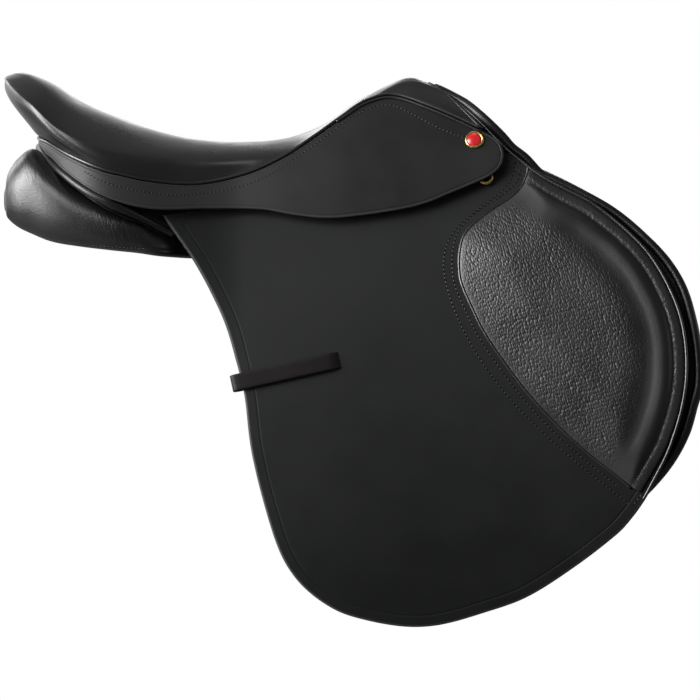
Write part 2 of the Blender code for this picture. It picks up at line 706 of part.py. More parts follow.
def flatten_bearing(bm):
    """Press the underside of a panel flat where it bears on the back."""
    point, normal = bearing_plane()
    for vert in bm.verts:
        proud = (vert.co - point).dot(normal)
        if BEARING_X[0] <= vert.co.x <= BEARING_X[1] and proud > 0:
            vert.co -= normal * proud


def panels(group):
    """The two flocked panels that bear on the horse's back."""
    for side, mirrored in (("left", False), ("right", True)):
        bm = bmesh.new()
        rings = [[bm.verts.new(p) for p in panel_ring(c)] for c in panel_corners()]
        for near, far in zip(rings, rings[1:]):
            for k in range(PANEL_SIDES):
                j = (k + 1) % PANEL_SIDES
                bm.faces.new((near[k], far[k], far[j], near[j]))
        for ring, swell in ((rings[0], -PANEL_END_SWELL), (rings[-1], PANEL_END_SWELL)):
            centre = sum((v.co for v in ring), Vector()) / PANEL_SIDES
            tip = bm.verts.new(centre + Vector((swell, 0, 0)))
            for k in range(PANEL_SIDES):
                bm.faces.new((ring[k], ring[(k + 1) % PANEL_SIDES], tip))
        flatten_bearing(bm)
        outward(bm)
        thing = new_object("panel_" + side, "panel_" + side, "grain_leather", group)
        store(thing, bm, (0, 0, 0), mirrored)


def arch(name, finish, group, half_path, back, front, outer, inner, count=17):
    """A bent strip over the saddle from side to side, between two depths under its path."""
    half = smooth_path(half_path, count)
    path = [Vector((p.x, -p.y, p.z)) for p in half[:0:-1]] + half
    bm = bmesh.new()
    sections = []
    for i, p in enumerate(path):
        along = path[min(i + 1, len(path) - 1)] - path[max(i - 1, 0)]
        inward = Vector((0, along.z, -along.y)).normalized()
        sections.append([bm.verts.new(p + Vector((shift, 0, 0)) + inward * depth)
                         for shift, depth in ((back, outer), (front, outer), (front, inner),
                                              (back, inner))])
    for near, far in zip(sections, sections[1:]):
        for k in range(4):
            j = (k + 1) % 4
            bm.faces.new((near[k], near[j], far[j], far[k]))
    bm.faces.new(sections[0])
    bm.faces.new(sections[-1])
    outward(bm)
    return store(new_object(name, name, finish, group), bm)


def head_pieces(group):
    """The tree's head with its points, its steel plate and the leather facing."""
    wood_top = SEAT_LEATHER + FOAM + 2 * WEBBING + 4 * LAYER_GAP
    path = [(HEAD_TOP_X, 0, seat_surface(HEAD_ROW, 0).z - wood_top - HEAD_DROP)]
    path += [(HEAD_TOP_X + HEAD_CROWN / 2, HEAD_CROWN, path[0][2] - HEAD_CROWN / 4)]
    for x, z in HEAD_SIDE:
        path.append((x, flank_y(x, z, POINT_OUT + LAYER_GAP), z))
    half = HEAD_WIDTH / 2
    arch("tree_head", "beech", group, path, -half, half, 0.0, POINT_THICKNESS)
    arch("head_plate", "steel", group, path, -half + 2, half - 2, POINT_THICKNESS + FIT,
         POINT_THICKNESS + FIT + HEAD_PLATE)
    arch("head_facing", "lining_leather", group, path, half + FACING_GAP,
         half + FACING_GAP + SEAT_LEATHER, 1.0, POINT_THICKNESS / 2)


def seat_row_at(x, v, depth):
    """The seat row whose point at this column and depth lies at x."""
    low, high = 4.0, SEAT_ROWS - 2.0
    for _ in range(30):
        middle = (low + high) / 2
        if seat_point(middle, v, depth).x < x:
            low = middle
        else:
            high = middle
    return low


def girth_webs(group):
    """The webs laid over the tree that the billets are sewn to."""
    depth = SEAT_LEATHER + FOAM + WEBBING + 3 * LAYER_GAP
    spans = {"front": (BILLET_PLACES["front"], BILLET_PLACES["front"]),
             "rear": (BILLET_PLACES["rear"], BILLET_PLACES["middle"])}
    for place, (first, last) in spans.items():
        start = seat_row_at(first - BILLET_WIDTH / 2, 0.5, depth)
        end = seat_row_at(last + BILLET_WIDTH / 2, 0.5, depth)
        steps = [start] + [t for t in GRID_ROWS if start + 0.1 < t < end - 0.1] + [end]
        bm = bmesh.new()
        layers = []
        for extra in (0.0, WEBBING):
            rows = []
            for t in steps:
                half = [seat_point(t, v, depth + extra) for v in GRID_COLUMNS[:6]]
                x, top = half[-1].x, half[-1].z
                for z in (top - 0.4 * (top - WEB_END), WEB_END + 14, WEB_END):
                    half.append(Vector((x, flank_y(x, z, BILLET_OUT + extra), z)))
                rows.append([Vector((p.x, -p.y, p.z)) for p in half[:0:-1]] + half)
            layers.append([[bm.verts.new(p) for p in row] for row in rows])
        close_layers(bm, *layers)
        name = "girth_web_" + place
        store(new_object(name, name, "webbing", group), bm)


def rolls(group):
    """The binding over the pommel, the roll of the panel front and the rear panel welt."""
    binding = []
    for v in (0.0, 0.25, 0.5, 0.75, 0.92):
        p = seat_point(SEAT_ROWS, v, BINDING_RADIUS + 0.5)
        binding.append(p + Vector((BINDING_RADIUS + 1.15, 0, -1.2)))
    both = [Vector((p.x, -p.y, p.z)) for p in binding[:0:-1]] + binding
    tube("pommel_binding", "flap_leather", group, smooth_path(both, 33), BINDING_RADIUS, 2)
    half = [Vector((x, y, z)) for x, y, z in FRONT_ROLL]
    both = [Vector((p.x, -p.y, p.z)) for p in half[:0:-1]] + half
    tube("panel_front_roll", "lining_leather", group, smooth_path(both, 25), FRONT_ROLL_RADIUS, 2)
    half = [Vector((REAR_ROLL_BACK[0], 0, REAR_ROLL_BACK[1]))]
    half += [flank_point(x, z, 1.0) for x, z in REAR_ROLL]
    both = [Vector((p.x, -p.y, p.z)) for p in half[:0:-1]] + half
    tube("rear_panel_welt", "seat_leather", group, smooth_path(both, 49), REAR_ROLL_RADIUS, 2)


def flank_frame(x, z, depth, direction=(1.0, 0.0)):
    """Axes on the saddle's side: along a direction, outward and across it."""
    here = flank_point(x, z, depth)
    ahead = flank_point(x + direction[0], z + direction[1], depth)
    along = (ahead - here).normalized()
    outward = (flank_point(x, z, depth - 1) - here).normalized()
    across = along.cross(outward).normalized()
    outward = across.cross(along).normalized()
    frame = Matrix((along, outward, across)).transposed().to_4x4()
    frame.translation = here
    return frame


def prism(outline, low, high):
    """A flat outline in the along-outward plane, thickened across it."""
    bm = bmesh.new()
    face = bm.faces.new([bm.verts.new((u, n, low)) for u, n in outline])
    grown = bmesh.ops.extrude_face_region(bm, geom=[face])
    moved = [g for g in grown["geom"] if isinstance(g, bmesh.types.BMVert)]
    bmesh.ops.translate(bm, vec=(0, 0, high - low), verts=moved)
    outward(bm)
    return bm


def ribbon(path, thickness):
    """Outline of a bent strip: a line in the plane given a thickness."""
    left, right = [], []
    for i, (u, n) in enumerate(path):
        a, b = path[max(i - 1, 0)], path[min(i + 1, len(path) - 1)]
        du, dn = b[0] - a[0], b[1] - a[1]
        size = math.hypot(du, dn)
        left.append((u - dn / size * thickness / 2, n + du / size * thickness / 2))
        right.append((u + dn / size * thickness / 2, n - du / size * thickness / 2))
    return left + right[::-1]


def cylinder(radius, low, high, centre, sides=16):
    """A round pin standing outward in a flank frame."""
    bm = bmesh.new()
    bmesh.ops.create_cone(bm, cap_ends=True, segments=sides, radius1=radius, radius2=radius,
                          depth=high - low)
    turn = Matrix.Rotation(math.radians(-90), 4, "X")
    bmesh.ops.transform(bm, matrix=turn, verts=bm.verts)
    bmesh.ops.translate(bm, vec=(centre[0], (low + high) / 2, centre[1]), verts=bm.verts)
    return bm


def cut_hole(thing, cutter):
    """Take a cutter out of a piece."""
    cutter.hide_render = True
    cutter.display_type = "WIRE"
    modifier = thing.modifiers.new("hole", "BOOLEAN")
    modifier.operation = "DIFFERENCE"
    modifier.object = cutter


def stirrup_bars(group, cutters):
    """The steel bars that the stirrup leathers hang on, with their safety catches."""
    plate_depth = POINT_OUT - FIT - BAR_PLATE / 2
    frame = flank_frame(*BAR_CENTRE, plate_depth, BAR_RISE)
    finger = plate_depth - (SKIRT_IN + FIT + BAR_FINGER / 2) - 1.2
    half = BAR_LENGTH / 2
    inner, outer = -BAR_PLATE / 2, BAR_PLATE / 2
    low, high = finger - BAR_FINGER / 2, finger + BAR_FINGER / 2
    lap = (low + high) / 2
    profile = [(-half, inner), (half, inner), (half, high - 2), (half - 2, high),
               (-half, high), (-half, lap), (-half + BAR_LAP, lap), (-half + BAR_LAP, low),
               (half - BAR_BRIDGE, low), (half - BAR_BRIDGE, outer), (-half, outer)]
    pivot_u = -half + BAR_LAP / 2
    pivot = frame @ Vector((pivot_u, 0, 0))
    for side, mirrored in (("left", False), ("right", True)):
        bar = new_object("stirrup_bar_" + side, "stirrup_bar_" + side, "steel", group)
        bm = prism(profile, -BAR_HEIGHT / 2, BAR_HEIGHT / 2)
        bm.transform(frame)
        store(bar, bm, (0, 0, 0), mirrored)
        catch = new_object("bar_catch_" + side, "bar_catch_" + side, "steel", group)
        bm = prism([(-half - CATCH_LENGTH, low), (-half + BAR_LAP - FIT, low),
                    (-half + BAR_LAP - FIT, lap - FIT), (-half - FIT, lap - FIT),
                    (-half - FIT, high), (-half - CATCH_LENGTH, high)],
                   -CATCH_HEIGHT / 2, CATCH_HEIGHT / 2)
        bm.transform(frame)
        store(catch, bm, pivot, mirrored)
        rivet = new_object("catch_rivet_" + side, "catch_rivet_" + side, "steel", group)
        bm = cylinder(RIVET_RADIUS, low - 0.8, high + 0.8, (pivot_u, 0))
        bm.transform(frame)
        store(rivet, bm, (0, 0, 0), mirrored)
        rivet_room = RIVET_RADIUS + FIT
        bar_room = math.hypot(BAR_LAP / 2, BAR_HEIGHT / 2) + 2 * FIT
        catch_room = math.hypot(BAR_LAP / 2, CATCH_HEIGHT / 2) + 2 * FIT
        for target, radius, bottom, top in ((bar, rivet_room, low - 3, high + 3),
                                            (catch, rivet_room, low - 3, high + 3),
                                            (catch, bar_room, lap - FIT, high + 3),
                                            (bar, catch_room, low - 3, lap)):
            cutter = new_object("room_in_" + target.name, "room_in_bar", "steel", cutters)
            bm = cylinder(radius, bottom, top, (pivot_u, 0), 24)
            bm.transform(frame)
            store(cutter, bm, (0, 0, 0), mirrored)
            cut_hole(target, cutter)
        slot = new_object("bar_slot_" + side, "bar_slot", "steel", cutters)
        reach = BAR_HEIGHT / 2 + BAR_SLOT_ROOM
        bm = prism([(-half - CATCH_LENGTH - 6, 0), (half + 2, 0), (half + 2, high + 6),
                    (-half - CATCH_LENGTH - 6, high + 6)], -reach, reach)
        bm.transform(frame)
        store(slot, bm, (0, 0, 0), mirrored)
        cut_hole(bpy.data.objects["flap_top_" + side], slot)


def dees(group):
    """The brass dees in front of the skirts and the leather loops that hold them."""
    depth = FLAP_OUT - FIT - DEE_LOOP_LEATHER - FIT - DEE_WIRE
    frame = flank_frame(*DEE_PLACE, depth)
    half = DEE_WIDTH / 2
    outline = [(-half, 0), (-half, -6)]
    for k in range(9):
        angle = math.pi + math.pi * k / 8
        outline.append((half * math.cos(angle), -DEE_DROP + half + half * math.sin(angle) * 0.95))
    outline += [(half, -6), (half, 0)]
    points = [Vector((u, 0, t)) for u, t in outline]
    middle = DEE_WIRE + FIT + DEE_LOOP_LEATHER / 2
    loop_path = [(DEE_LOOP_REACH, -middle), (0, -middle)]
    for angle in range(30, 151, 30):
        turn = math.radians(angle)
        loop_path.append((-middle * math.sin(turn), -middle * math.cos(turn)))
    close = -middle + DEE_LOOP_LEATHER + FIT
    loop_path += [(0, middle), (2.0, middle), (5.0, close), (DEE_LOOP_REACH, close)]
    for side, mirrored in (("left", False), ("right", True)):
        sign = -1 if mirrored else 1
        world = [frame @ p for p in points]
        world = [Vector((p.x, p.y * sign, p.z)) for p in world]
        origin = frame.translation.copy()
        origin.y *= sign
        ring = tube("front_dee_" + side, "brass", group, [p - origin for p in world], DEE_WIRE, 2)
        ring.location = origin * MM
        ring.data.splines[0].use_cyclic_u = True
        loop = new_object("dee_loop_" + side, "dee_loop_" + side, "strap_leather", group)
        bm = prism(ribbon(loop_path, DEE_LOOP_LEATHER), -DEE_LOOP_WIDTH / 2, DEE_LOOP_WIDTH / 2)
        upright = Matrix(((0, 0, -1, 0), (0, 1, 0, 0), (1, 0, 0, 0), (0, 0, 0, 1)))
        bm.transform(frame @ upright)
        store(loop, bm, (0, 0, 0), mirrored)


def studs(group):
    """The plain domed nails at the front of the skirts."""
    frame = flank_frame(*STUD_PLACE, 0)
    for side, mirrored in (("left", False), ("right", True)):
        bm = bmesh.new()
        bmesh.ops.create_uvsphere(bm, u_segments=20, v_segments=8, radius=STUD_RADIUS)
        geometry = bm.verts[:] + bm.edges[:] + bm.faces[:]
        bmesh.ops.bisect_plane(bm, geom=geometry, plane_co=(0, 0, 0.01), plane_no=(0, 0, -1),
                               clear_outer=True)
        rim = [e for e in bm.edges if e.is_boundary]
        bmesh.ops.contextual_create(bm, geom=rim)
        bmesh.ops.scale(bm, vec=(1, 1, STUD_HEIGHT / STUD_RADIUS), verts=bm.verts)
        turn = Matrix.Rotation(math.radians(-90), 4, "X")
        bmesh.ops.transform(bm, matrix=turn, verts=bm.verts)
        bmesh.ops.translate(bm, vec=(0, FIT + 0.25, 0), verts=bm.verts)
        bm.transform(frame)
        outward(bm)
        name = "skirt_stud_" + side
        store(new_object(name, name, "enamel", group), bm, (0, 0, 0), mirrored)


def keeper_straps(group):
    """The leather keepers on the flaps, round the rear edge and into a slot in front."""
    (ax, az), (bx, bz) = STRAP_START, STRAP_END
    length = math.hypot(bx - ax, bz - az)
    direction = ((bx - ax) / length, (bz - az) / length)
    frame = flank_frame((ax + bx) / 2, (az + bz) / 2, FLAP_OUT, direction)
    surface = FIT + STRAP_LEATHER / 2 + 0.4
    back = -(FLAP_LEATHER + FIT + STRAP_LEATHER / 2)
    start, end = -length / 2, length / 2
    bow = [(start + length * f, surface + STRAP_LIFT * math.sin(math.pi * f) ** 0.6)
           for f in span(0.06, 0.94, 12)]
    path = [(start + 10, back - 0.2), (start + 2, back - 0.2), (start - 1.5, back / 2),
            (start - 0.5, 0.4)] + bow + [(end, surface)]
    axis_point, _ = flap_axis()
    for side, mirrored in (("left", False), ("right", True)):
        bm = prism(ribbon(path, STRAP_LEATHER), -STRAP_WIDTH / 2, STRAP_WIDTH / 2)
        bm.transform(frame)
        name = "keeper_strap_" + side
        store(new_object(name, name, "strap_leather", group), bm, axis_point, mirrored)


def main():
    clear_scene()
    group = collection(COLLECTION)
    cutters = collection(CUTTERS)
    seat_pieces(group)
    head_pieces(group)
    girth_webs(group)
    welts(group)
    rolls(group)
    skirts(group)
    flaps(group)
    billets(group)
    panels(group)
    stirrup_bars(group, cutters)
    dees(group)
    studs(group)
    keeper_straps(group)


main()
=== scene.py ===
"""Looks of the jumping saddle: leathers, padding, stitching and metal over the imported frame.

Sizes are in millimetres and turned into metres where a mesh is made. The left side is drawn,
and the right side is its mirror image.
"""

import math

import bmesh
import bpy
import numpy as np
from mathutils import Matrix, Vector
from mathutils.bvhtree import BVHTree
from mathutils.geometry import delaunay_2d_cdt


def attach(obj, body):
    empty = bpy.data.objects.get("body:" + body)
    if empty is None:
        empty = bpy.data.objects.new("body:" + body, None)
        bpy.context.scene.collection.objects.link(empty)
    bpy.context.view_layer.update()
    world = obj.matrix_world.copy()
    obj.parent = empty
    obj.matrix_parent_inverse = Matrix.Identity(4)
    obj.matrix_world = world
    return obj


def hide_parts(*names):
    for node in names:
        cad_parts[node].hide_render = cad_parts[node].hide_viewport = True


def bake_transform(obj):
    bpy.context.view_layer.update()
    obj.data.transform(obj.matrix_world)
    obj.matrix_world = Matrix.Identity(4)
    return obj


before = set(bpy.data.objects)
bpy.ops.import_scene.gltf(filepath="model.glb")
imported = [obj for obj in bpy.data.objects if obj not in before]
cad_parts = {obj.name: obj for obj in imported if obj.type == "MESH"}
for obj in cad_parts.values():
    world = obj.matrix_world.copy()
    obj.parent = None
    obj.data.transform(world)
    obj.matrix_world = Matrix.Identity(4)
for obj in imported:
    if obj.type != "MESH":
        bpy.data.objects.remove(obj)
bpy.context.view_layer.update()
bpy.ops.object.select_all(action="DESELECT")

MM = 0.001
SIDES = (("left", 1), ("right", -1))


# Curves and directions

def ease(t):
    """A smooth step: 0 below 0, 1 above 1."""
    t = np.clip(t, 0, 1)
    return t * t * (3 - 2 * t)


def bell(x, middle, width):
    """A rounded rise to 1 at a middle."""
    return np.exp(-((x - middle) / width) ** 2)


def unit(v):
    """Directions made 1 long."""
    return v / (np.linalg.norm(v, axis=-1, keepdims=True) + 1e-9)


def angles(count):
    """Even angles round a full turn."""
    return 2 * math.pi * np.arange(count) / count


def hermite(a, b, leaving, arriving, t):
    """Cubic from a to b with its slopes at both ends."""
    return ((2 * t ** 3 - 3 * t ** 2 + 1) * a + (t ** 3 - 2 * t ** 2 + t) * leaving
            + (3 * t ** 2 - 2 * t ** 3) * b + (t ** 3 - t ** 2) * arriving)


def along(stations, at):
    """Monotone cubic through (position, value) stations."""
    xs, ys = np.array(stations, float).T
    at = np.clip(np.asarray(at, float), xs[0], xs[-1])
    i = np.clip(np.searchsorted(xs, at) - 1, 0, len(xs) - 2)
    slope = np.diff(ys) / np.diff(xs)
    inner = np.zeros(len(xs))
    a, b = slope[:-1], slope[1:]
    both = a * b > 0
    inner[1:-1][both] = 2 * a[both] * b[both] / (a[both] + b[both])
    inner[0], inner[-1] = slope[0], slope[-1]
    h = xs[i + 1] - xs[i]
    return hermite(ys[i], ys[i + 1], h * inner[i], h * inner[i + 1], (at - xs[i]) / h)


def through(table, t, first, last):
    """Smooth cubic through the rows of a table, given a row before it and one after it."""
    table = np.array(table, float)
    t = np.clip(np.asarray(t, float), 0, len(table) - 1)
    i = np.minimum(t.astype(int), len(table) - 2)
    f = (t - i)[..., None]
    padded = np.vstack([first, table, last])
    p = [padded[i + k] for k in range(4)]
    return 0.5 * (2 * p[1] + (p[2] - p[0]) * f + (2 * p[0] - 5 * p[1] + 4 * p[2] - p[3]) * f ** 2
                  + (3 * p[1] - p[0] - 3 * p[2] + p[3]) * f ** 3)


def smooth_line(points, count):
    """A smooth line through points, in any number of dimensions."""
    pts = np.array(points, float)
    return through(pts, np.linspace(0, len(pts) - 1, count), pts[0] * 2 - pts[1], pts[-1] * 2 - pts[-2])


def lengths(line):
    """Length along a line at each of its points."""
    return np.concatenate([[0], np.cumsum(np.linalg.norm(np.diff(line, axis=0), axis=1))])


def resample(path, step):
    """Points at an even step along a line."""
    path = np.asarray(path, float)
    length = lengths(path)
    at = np.linspace(0, length[-1], max(2, int(length[-1] / step) + 1))
    return np.stack([np.interp(at, length, path[:, k]) for k in range(path.shape[1])], 1)


def inset(line, amount):
    """A flat line moved to its left by an amount."""
    step = unit(np.gradient(line, axis=0))
    return line + np.stack([-step[:, 1], step[:, 0]], 1) * amount


def both_sides(half):
    """A line over the saddle from its left half."""
    return np.vstack([half[::-1] * [1, -1, 1], half[1:]])


# The saddle's side as a surface

FLANK = [(-345, 190), (-250, 182), (-150, 165), (-50, 139), (20, 114), (60, 98), (90, 86),
         (120, 72), (142, 60), (155, 51), (165, 41), (172, 30), (178, 14)]
REAR_TURN, REAR_LENGTH, REAR_POWER, REAR_ARC = -120.0, 84.0, 2.4, 150.0
FLANK_FLARE, FLARE_FROM, FLARE_LENGTH = 42, -2, 153
NOSE_FLARE, NOSE_FROM = 0.0004, 150
SKIRT_THICK, FLAP_THICK, SWEAT_THICK, GUARD_THICK, BILLET_THICK = 3.8, 4.0, 3.0, 2.0, 3.5
FLAP_DEPTH, PAD_DEPTH, GUARD_DEPTH, BILLET_DEPTH, SWEAT_DEPTH = 10.5, 10.2, 15.0, 17.5, 21.5


def wrap_of(x):
    """Distance measured round the cantle's back, for a place given by x."""
    x = np.asarray(x, float)
    s = np.clip((REAR_TURN - x) / REAR_LENGTH, 0, 1)
    angle = np.arcsin(s ** (REAR_POWER / 2))
    return np.where(x < REAR_TURN, REAR_TURN - angle / (math.pi / 2) * REAR_ARC, x)


def side_raw(w, z):
    """Skirt surface at a wrapped distance and a height."""
    angle = np.clip((REAR_TURN - w) / REAR_ARC, 0, 1) * math.pi / 2
    x = np.where(w < REAR_TURN, REAR_TURN - REAR_LENGTH * np.sin(angle) ** (2 / REAR_POWER), w)
    y = along(FLANK, z) + FLANK_FLARE * ease((FLARE_FROM - x) / FLARE_LENGTH)
    y = y + NOSE_FLARE * np.maximum(0, x - NOSE_FROM) ** 2
    y = y * np.where(w < REAR_TURN, np.cos(angle) ** (2 / REAR_POWER), 1.0)
    return np.stack([x, y, np.asarray(z, float) + 0 * x], -1)


def side(w, z, depth=0.0):
    """A point at a depth under the skirt surface, on the left side."""
    w, z = np.asarray(w, float), np.asarray(z, float)
    e = 0.8
    dw = side_raw(w + e, z) - side_raw(np.maximum(w - e, REAR_TURN - REAR_ARC), z)
    dz = side_raw(w, z + e) - side_raw(w, z - e)
    return side_raw(w, z) - unit(np.cross(dz, dw)) * np.asarray(depth, float)[..., None]


# Seat surface

SEAT_CENTRE = [(-219, 183.8), (-209, 181), (-187, 171), (-158, 153), (-123, 139), (-85, 126),
               (-45, 118.5), (0, 117), (38, 121), (72, 134), (98, 152), (122, 166), (146, 177),
               (158, 179), (168, 176)]
SEAT_SHOULDER = [(-236.5, 0, 176), (-229, 50, 170), (-206, 96, 155), (-175.5, 114.5, 130),
                 (-134, 119, 112), (-90, 104, 104), (-47, 86, 100), (0, 72, 103), (38, 64, 112),
                 (67, 57, 128), (92, 48, 146), (118, 37, 161), (144, 28, 172), (168, 28, 171),
                 (190, 36, 163)]
SEAT_WELT = [(-204, 121), (-199, 120), (-187, 116), (-160, 103), (-127, 91), (-90, 83),
             (-46, 80), (-2, 89), (34, 105), (62, 123), (89, 142), (112, 157), (140, 163),
             (180, 150), (223, 131)]
ROWS = 14
DISH, CREST_DISH = 0.28, 0.06
CANTLE_CREST = np.array([-229.5, 0.0, 182.6])
# how steeply the leather falls just behind the cantle's ridge
RIDGE_FALL = 44.0


def row(table, t):
    """Smooth rows of a table that meets its mirror image behind the cantle."""
    twin = np.array(table[1]) * ([1, -1, 1] if len(table[1]) == 3 else [1, 1])
    return through(table, t, twin, table[-1])


WELT_WZ = np.array([(float(wrap_of(x)), z) for x, z in SEAT_WELT])


def welt_wz(t):
    """The seat's seam as wrapped distance and height."""
    before = (2 * WELT_WZ[0, 0] - WELT_WZ[1, 0], WELT_WZ[1, 1])
    return through(WELT_WZ, t, before, WELT_WZ[-1] * 2 - WELT_WZ[-2])


def welt(t, depth=0.0):
    """The seat's seam in space."""
    wz_of = welt_wz(t)
    return side(wz_of[..., 0], wz_of[..., 1], depth)


def seat_ridge(t):
    """How sharp the ridge round the cantle is: 1 behind, 0 along the seat's sides."""
    return ease((5.6 - t) / 3.2)


def ridge_way(t):
    """Direction in which the leather falls just behind the ridge."""
    ahead = row(SEAT_SHOULDER, t + 0.05) - row(SEAT_SHOULDER, np.maximum(t - 0.05, 0))
    outward = unit(np.stack([-ahead[..., 1], ahead[..., 0], 0 * t], -1))
    return unit(outward * 0.3 - np.array([0, 0, 0.95]))


def seat(t, v):
    """Seat leather: t from cantle to head, v from the centre line (0) to the seam (1)."""
    t, v = np.broadcast_arrays(np.asarray(t, float), np.asarray(v, float))
    centre_xz = row(SEAT_CENTRE, t)
    centre = np.stack([centre_xz[..., 0], 0 * t, centre_xz[..., 1]], -1)
    shoulder = row(SEAT_SHOULDER, t)
    seam = welt(t)
    inner = (centre + shoulder) / 2
    inner[..., 0] = centre[..., 0] + DISH * (shoulder[..., 0] - centre[..., 0])
    fall = CREST_DISH + (DISH - CREST_DISH) * ease((t - 1) / 2.5)
    inner[..., 2] = centre[..., 2] - fall * (centre[..., 2] - shoulder[..., 2])
    (x, z), (shoulder_x, _, shoulder_z) = SEAT_CENTRE[0], SEAT_SHOULDER[0]
    plain_crest = np.array([x + DISH * (shoulder_x - x), 0, z - CREST_DISH * (z - shoulder_z)])
    inner = inner + (CANTLE_CREST - plain_crest) * ease(1 - t)[..., None]
    pts = np.stack([inner * [1, -1, 1], centre, inner, shoulder, seam, seam * 2 - shoulder], 0)
    tangent = (pts[2:] - pts[:-2]) / 2
    s = v * 3
    i = np.minimum(s.astype(int), 2)
    idx = np.indices(t.shape)
    a, b = tangent[(i, *idx)], tangent[(i + 1, *idx)]
    # behind the cantle's ridge the leather first falls steeply, then turns in to the seam
    ridge = seat_ridge(t)
    b = b * np.where(i == 1, 1 - 0.5 * ridge, 1.0)[..., None]
    a = a + ((RIDGE_FALL * ridge_way(t) - a) * np.where(i == 2, ridge, 0.0)[..., None])
    return hermite(pts[(i + 1, *idx)], pts[(i + 2, *idx)], a, b, (s - i)[..., None])


# Meshes

def build(name, verts, faces, materials, body, values=None, kinds=None):
    """An object from millimetre points, facing outwards and riding on a body.

    Leather is cleaned and shaded smooth; stitches, whose faces have kinds, stay as they are.
    """
    name = name.replace(" ", "_")
    mesh = bpy.data.meshes.new(name)
    mesh.from_pydata((np.asarray(verts, float) * MM).tolist(), [], [list(map(int, f)) for f in faces])
    for material in materials:
        mesh.materials.append(material)
    for key, data in (values or {}).items():
        layer = mesh.attributes.new(key, "FLOAT", "POINT")
        layer.data.foreach_set("value", np.asarray(data, np.float32))
    if kinds:
        mesh.polygons.foreach_set("material_index", kinds)
    bm = bmesh.new()
    bm.from_mesh(mesh)
    if not kinds:
        bmesh.ops.remove_doubles(bm, verts=bm.verts, dist=0.00002)
        bmesh.ops.dissolve_degenerate(bm, edges=bm.edges, dist=0.000005)
    bmesh.ops.recalc_face_normals(bm, faces=bm.faces)
    if bm.calc_volume(signed=True) < 0:
        bmesh.ops.reverse_faces(bm, faces=bm.faces)
    bm.to_mesh(mesh)
    bm.free()
    if not kinds:
        mesh.shade_smooth()
    thing = bpy.data.objects.new(name, mesh)
    bpy.context.scene.collection.objects.link(thing)
    if body:
        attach(thing, body)
    return thing


def piece(name, verts, faces, material, body, stands_for=(), values=None):
    """A leather or metal piece, and the solids that it stands for."""
    thing = build(name, verts, faces, [material], body, values)
    if stands_for:
        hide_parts(*stands_for)
    return thing


def lattice(n, m, closed=False, around=True):
    """Quads between n rows of m points; closed joins last to first row, around joins a row's ends."""
    return np.array([(i * m + k, (i + 1) % n * m + k, (i + 1) % n * m + (k + 1) % m, i * m + (k + 1) % m)
                     for i in range(n if closed else n - 1) for k in range(m if around else m - 1)])


def ring_spline(points, step, closed=True):
    """A smooth line through points at an even step. A third number of 1 marks a sharp corner."""
    pts = [np.array(p[:2], float) for p in points]
    sharp = [len(p) > 2 and p[2] for p in points]
    n = len(pts)
    out = []
    for i in range(n if closed else n - 1):
        a, b = pts[i], pts[(i + 1) % n]
        before = pts[(i - 1) % n] if (closed or i > 0) else a * 2 - b
        after = pts[(i + 2) % n] if (closed or i < n - 2) else b * 2 - a
        reach = np.linalg.norm(b - a)
        ta = (b - a) if sharp[i] else (b - before) * reach / (np.linalg.norm(a - before) + reach)
        tb = (b - a) if sharp[(i + 1) % n] else (after - a) * reach / (np.linalg.norm(after - b) + reach)
        steps = max(1, int(math.ceil(reach / step)))
        out += [hermite(a, b, ta, tb, k / steps) for k in range(steps)]
    if not closed:
        out.append(pts[-1])
    return np.array(out)


def nearest(points, line):
    """Distance from an open line of points, and the length along it of the nearest place."""
    best = np.full(len(points), 1e9)
    where = np.zeros(len(points))
    length = lengths(line)
    for k in range(len(line) - 1):
        d = line[k + 1] - line[k]
        t = np.clip(((points - line[k]) @ d) / ((d ** 2).sum() + 1e-12), 0, 1)
        gap = np.linalg.norm(points - line[k] - t[:, None] * d, axis=1)
        closer = gap < best
        best[closer] = gap[closer]
        where[closer] = (length[k] + t * (length[k + 1] - length[k]))[closer]
    return best, where


def edge_gap(points, lines):
    """Distance of each point from the nearest of some closed lines."""
    return np.min([nearest(points, np.vstack([line, line[:1]]))[0] for line in lines], axis=0)


def inside(points, line):
    """Whether each point lies inside a closed line."""
    x, z = points[:, 0], points[:, 1]
    hit = np.zeros(len(points), bool)
    for (ax, az), (bx, bz) in zip(line, np.roll(line, -1, axis=0)):
        if az == bz:
            continue
        cross = (az > z) != (bz > z)
        hit ^= cross & (x < (bx - ax) * (z - az) / (bz - az) + ax)
    return hit


def within(points, lines):
    """Whether each point lies inside the first line and outside the others."""
    ok = inside(points, lines[0])
    for hole in lines[1:]:
        ok &= ~inside(points, hole)
    return ok


EDGE_RINGS = (0.35, 0.8, 1.4, 2.2, 3.4, 5.2)


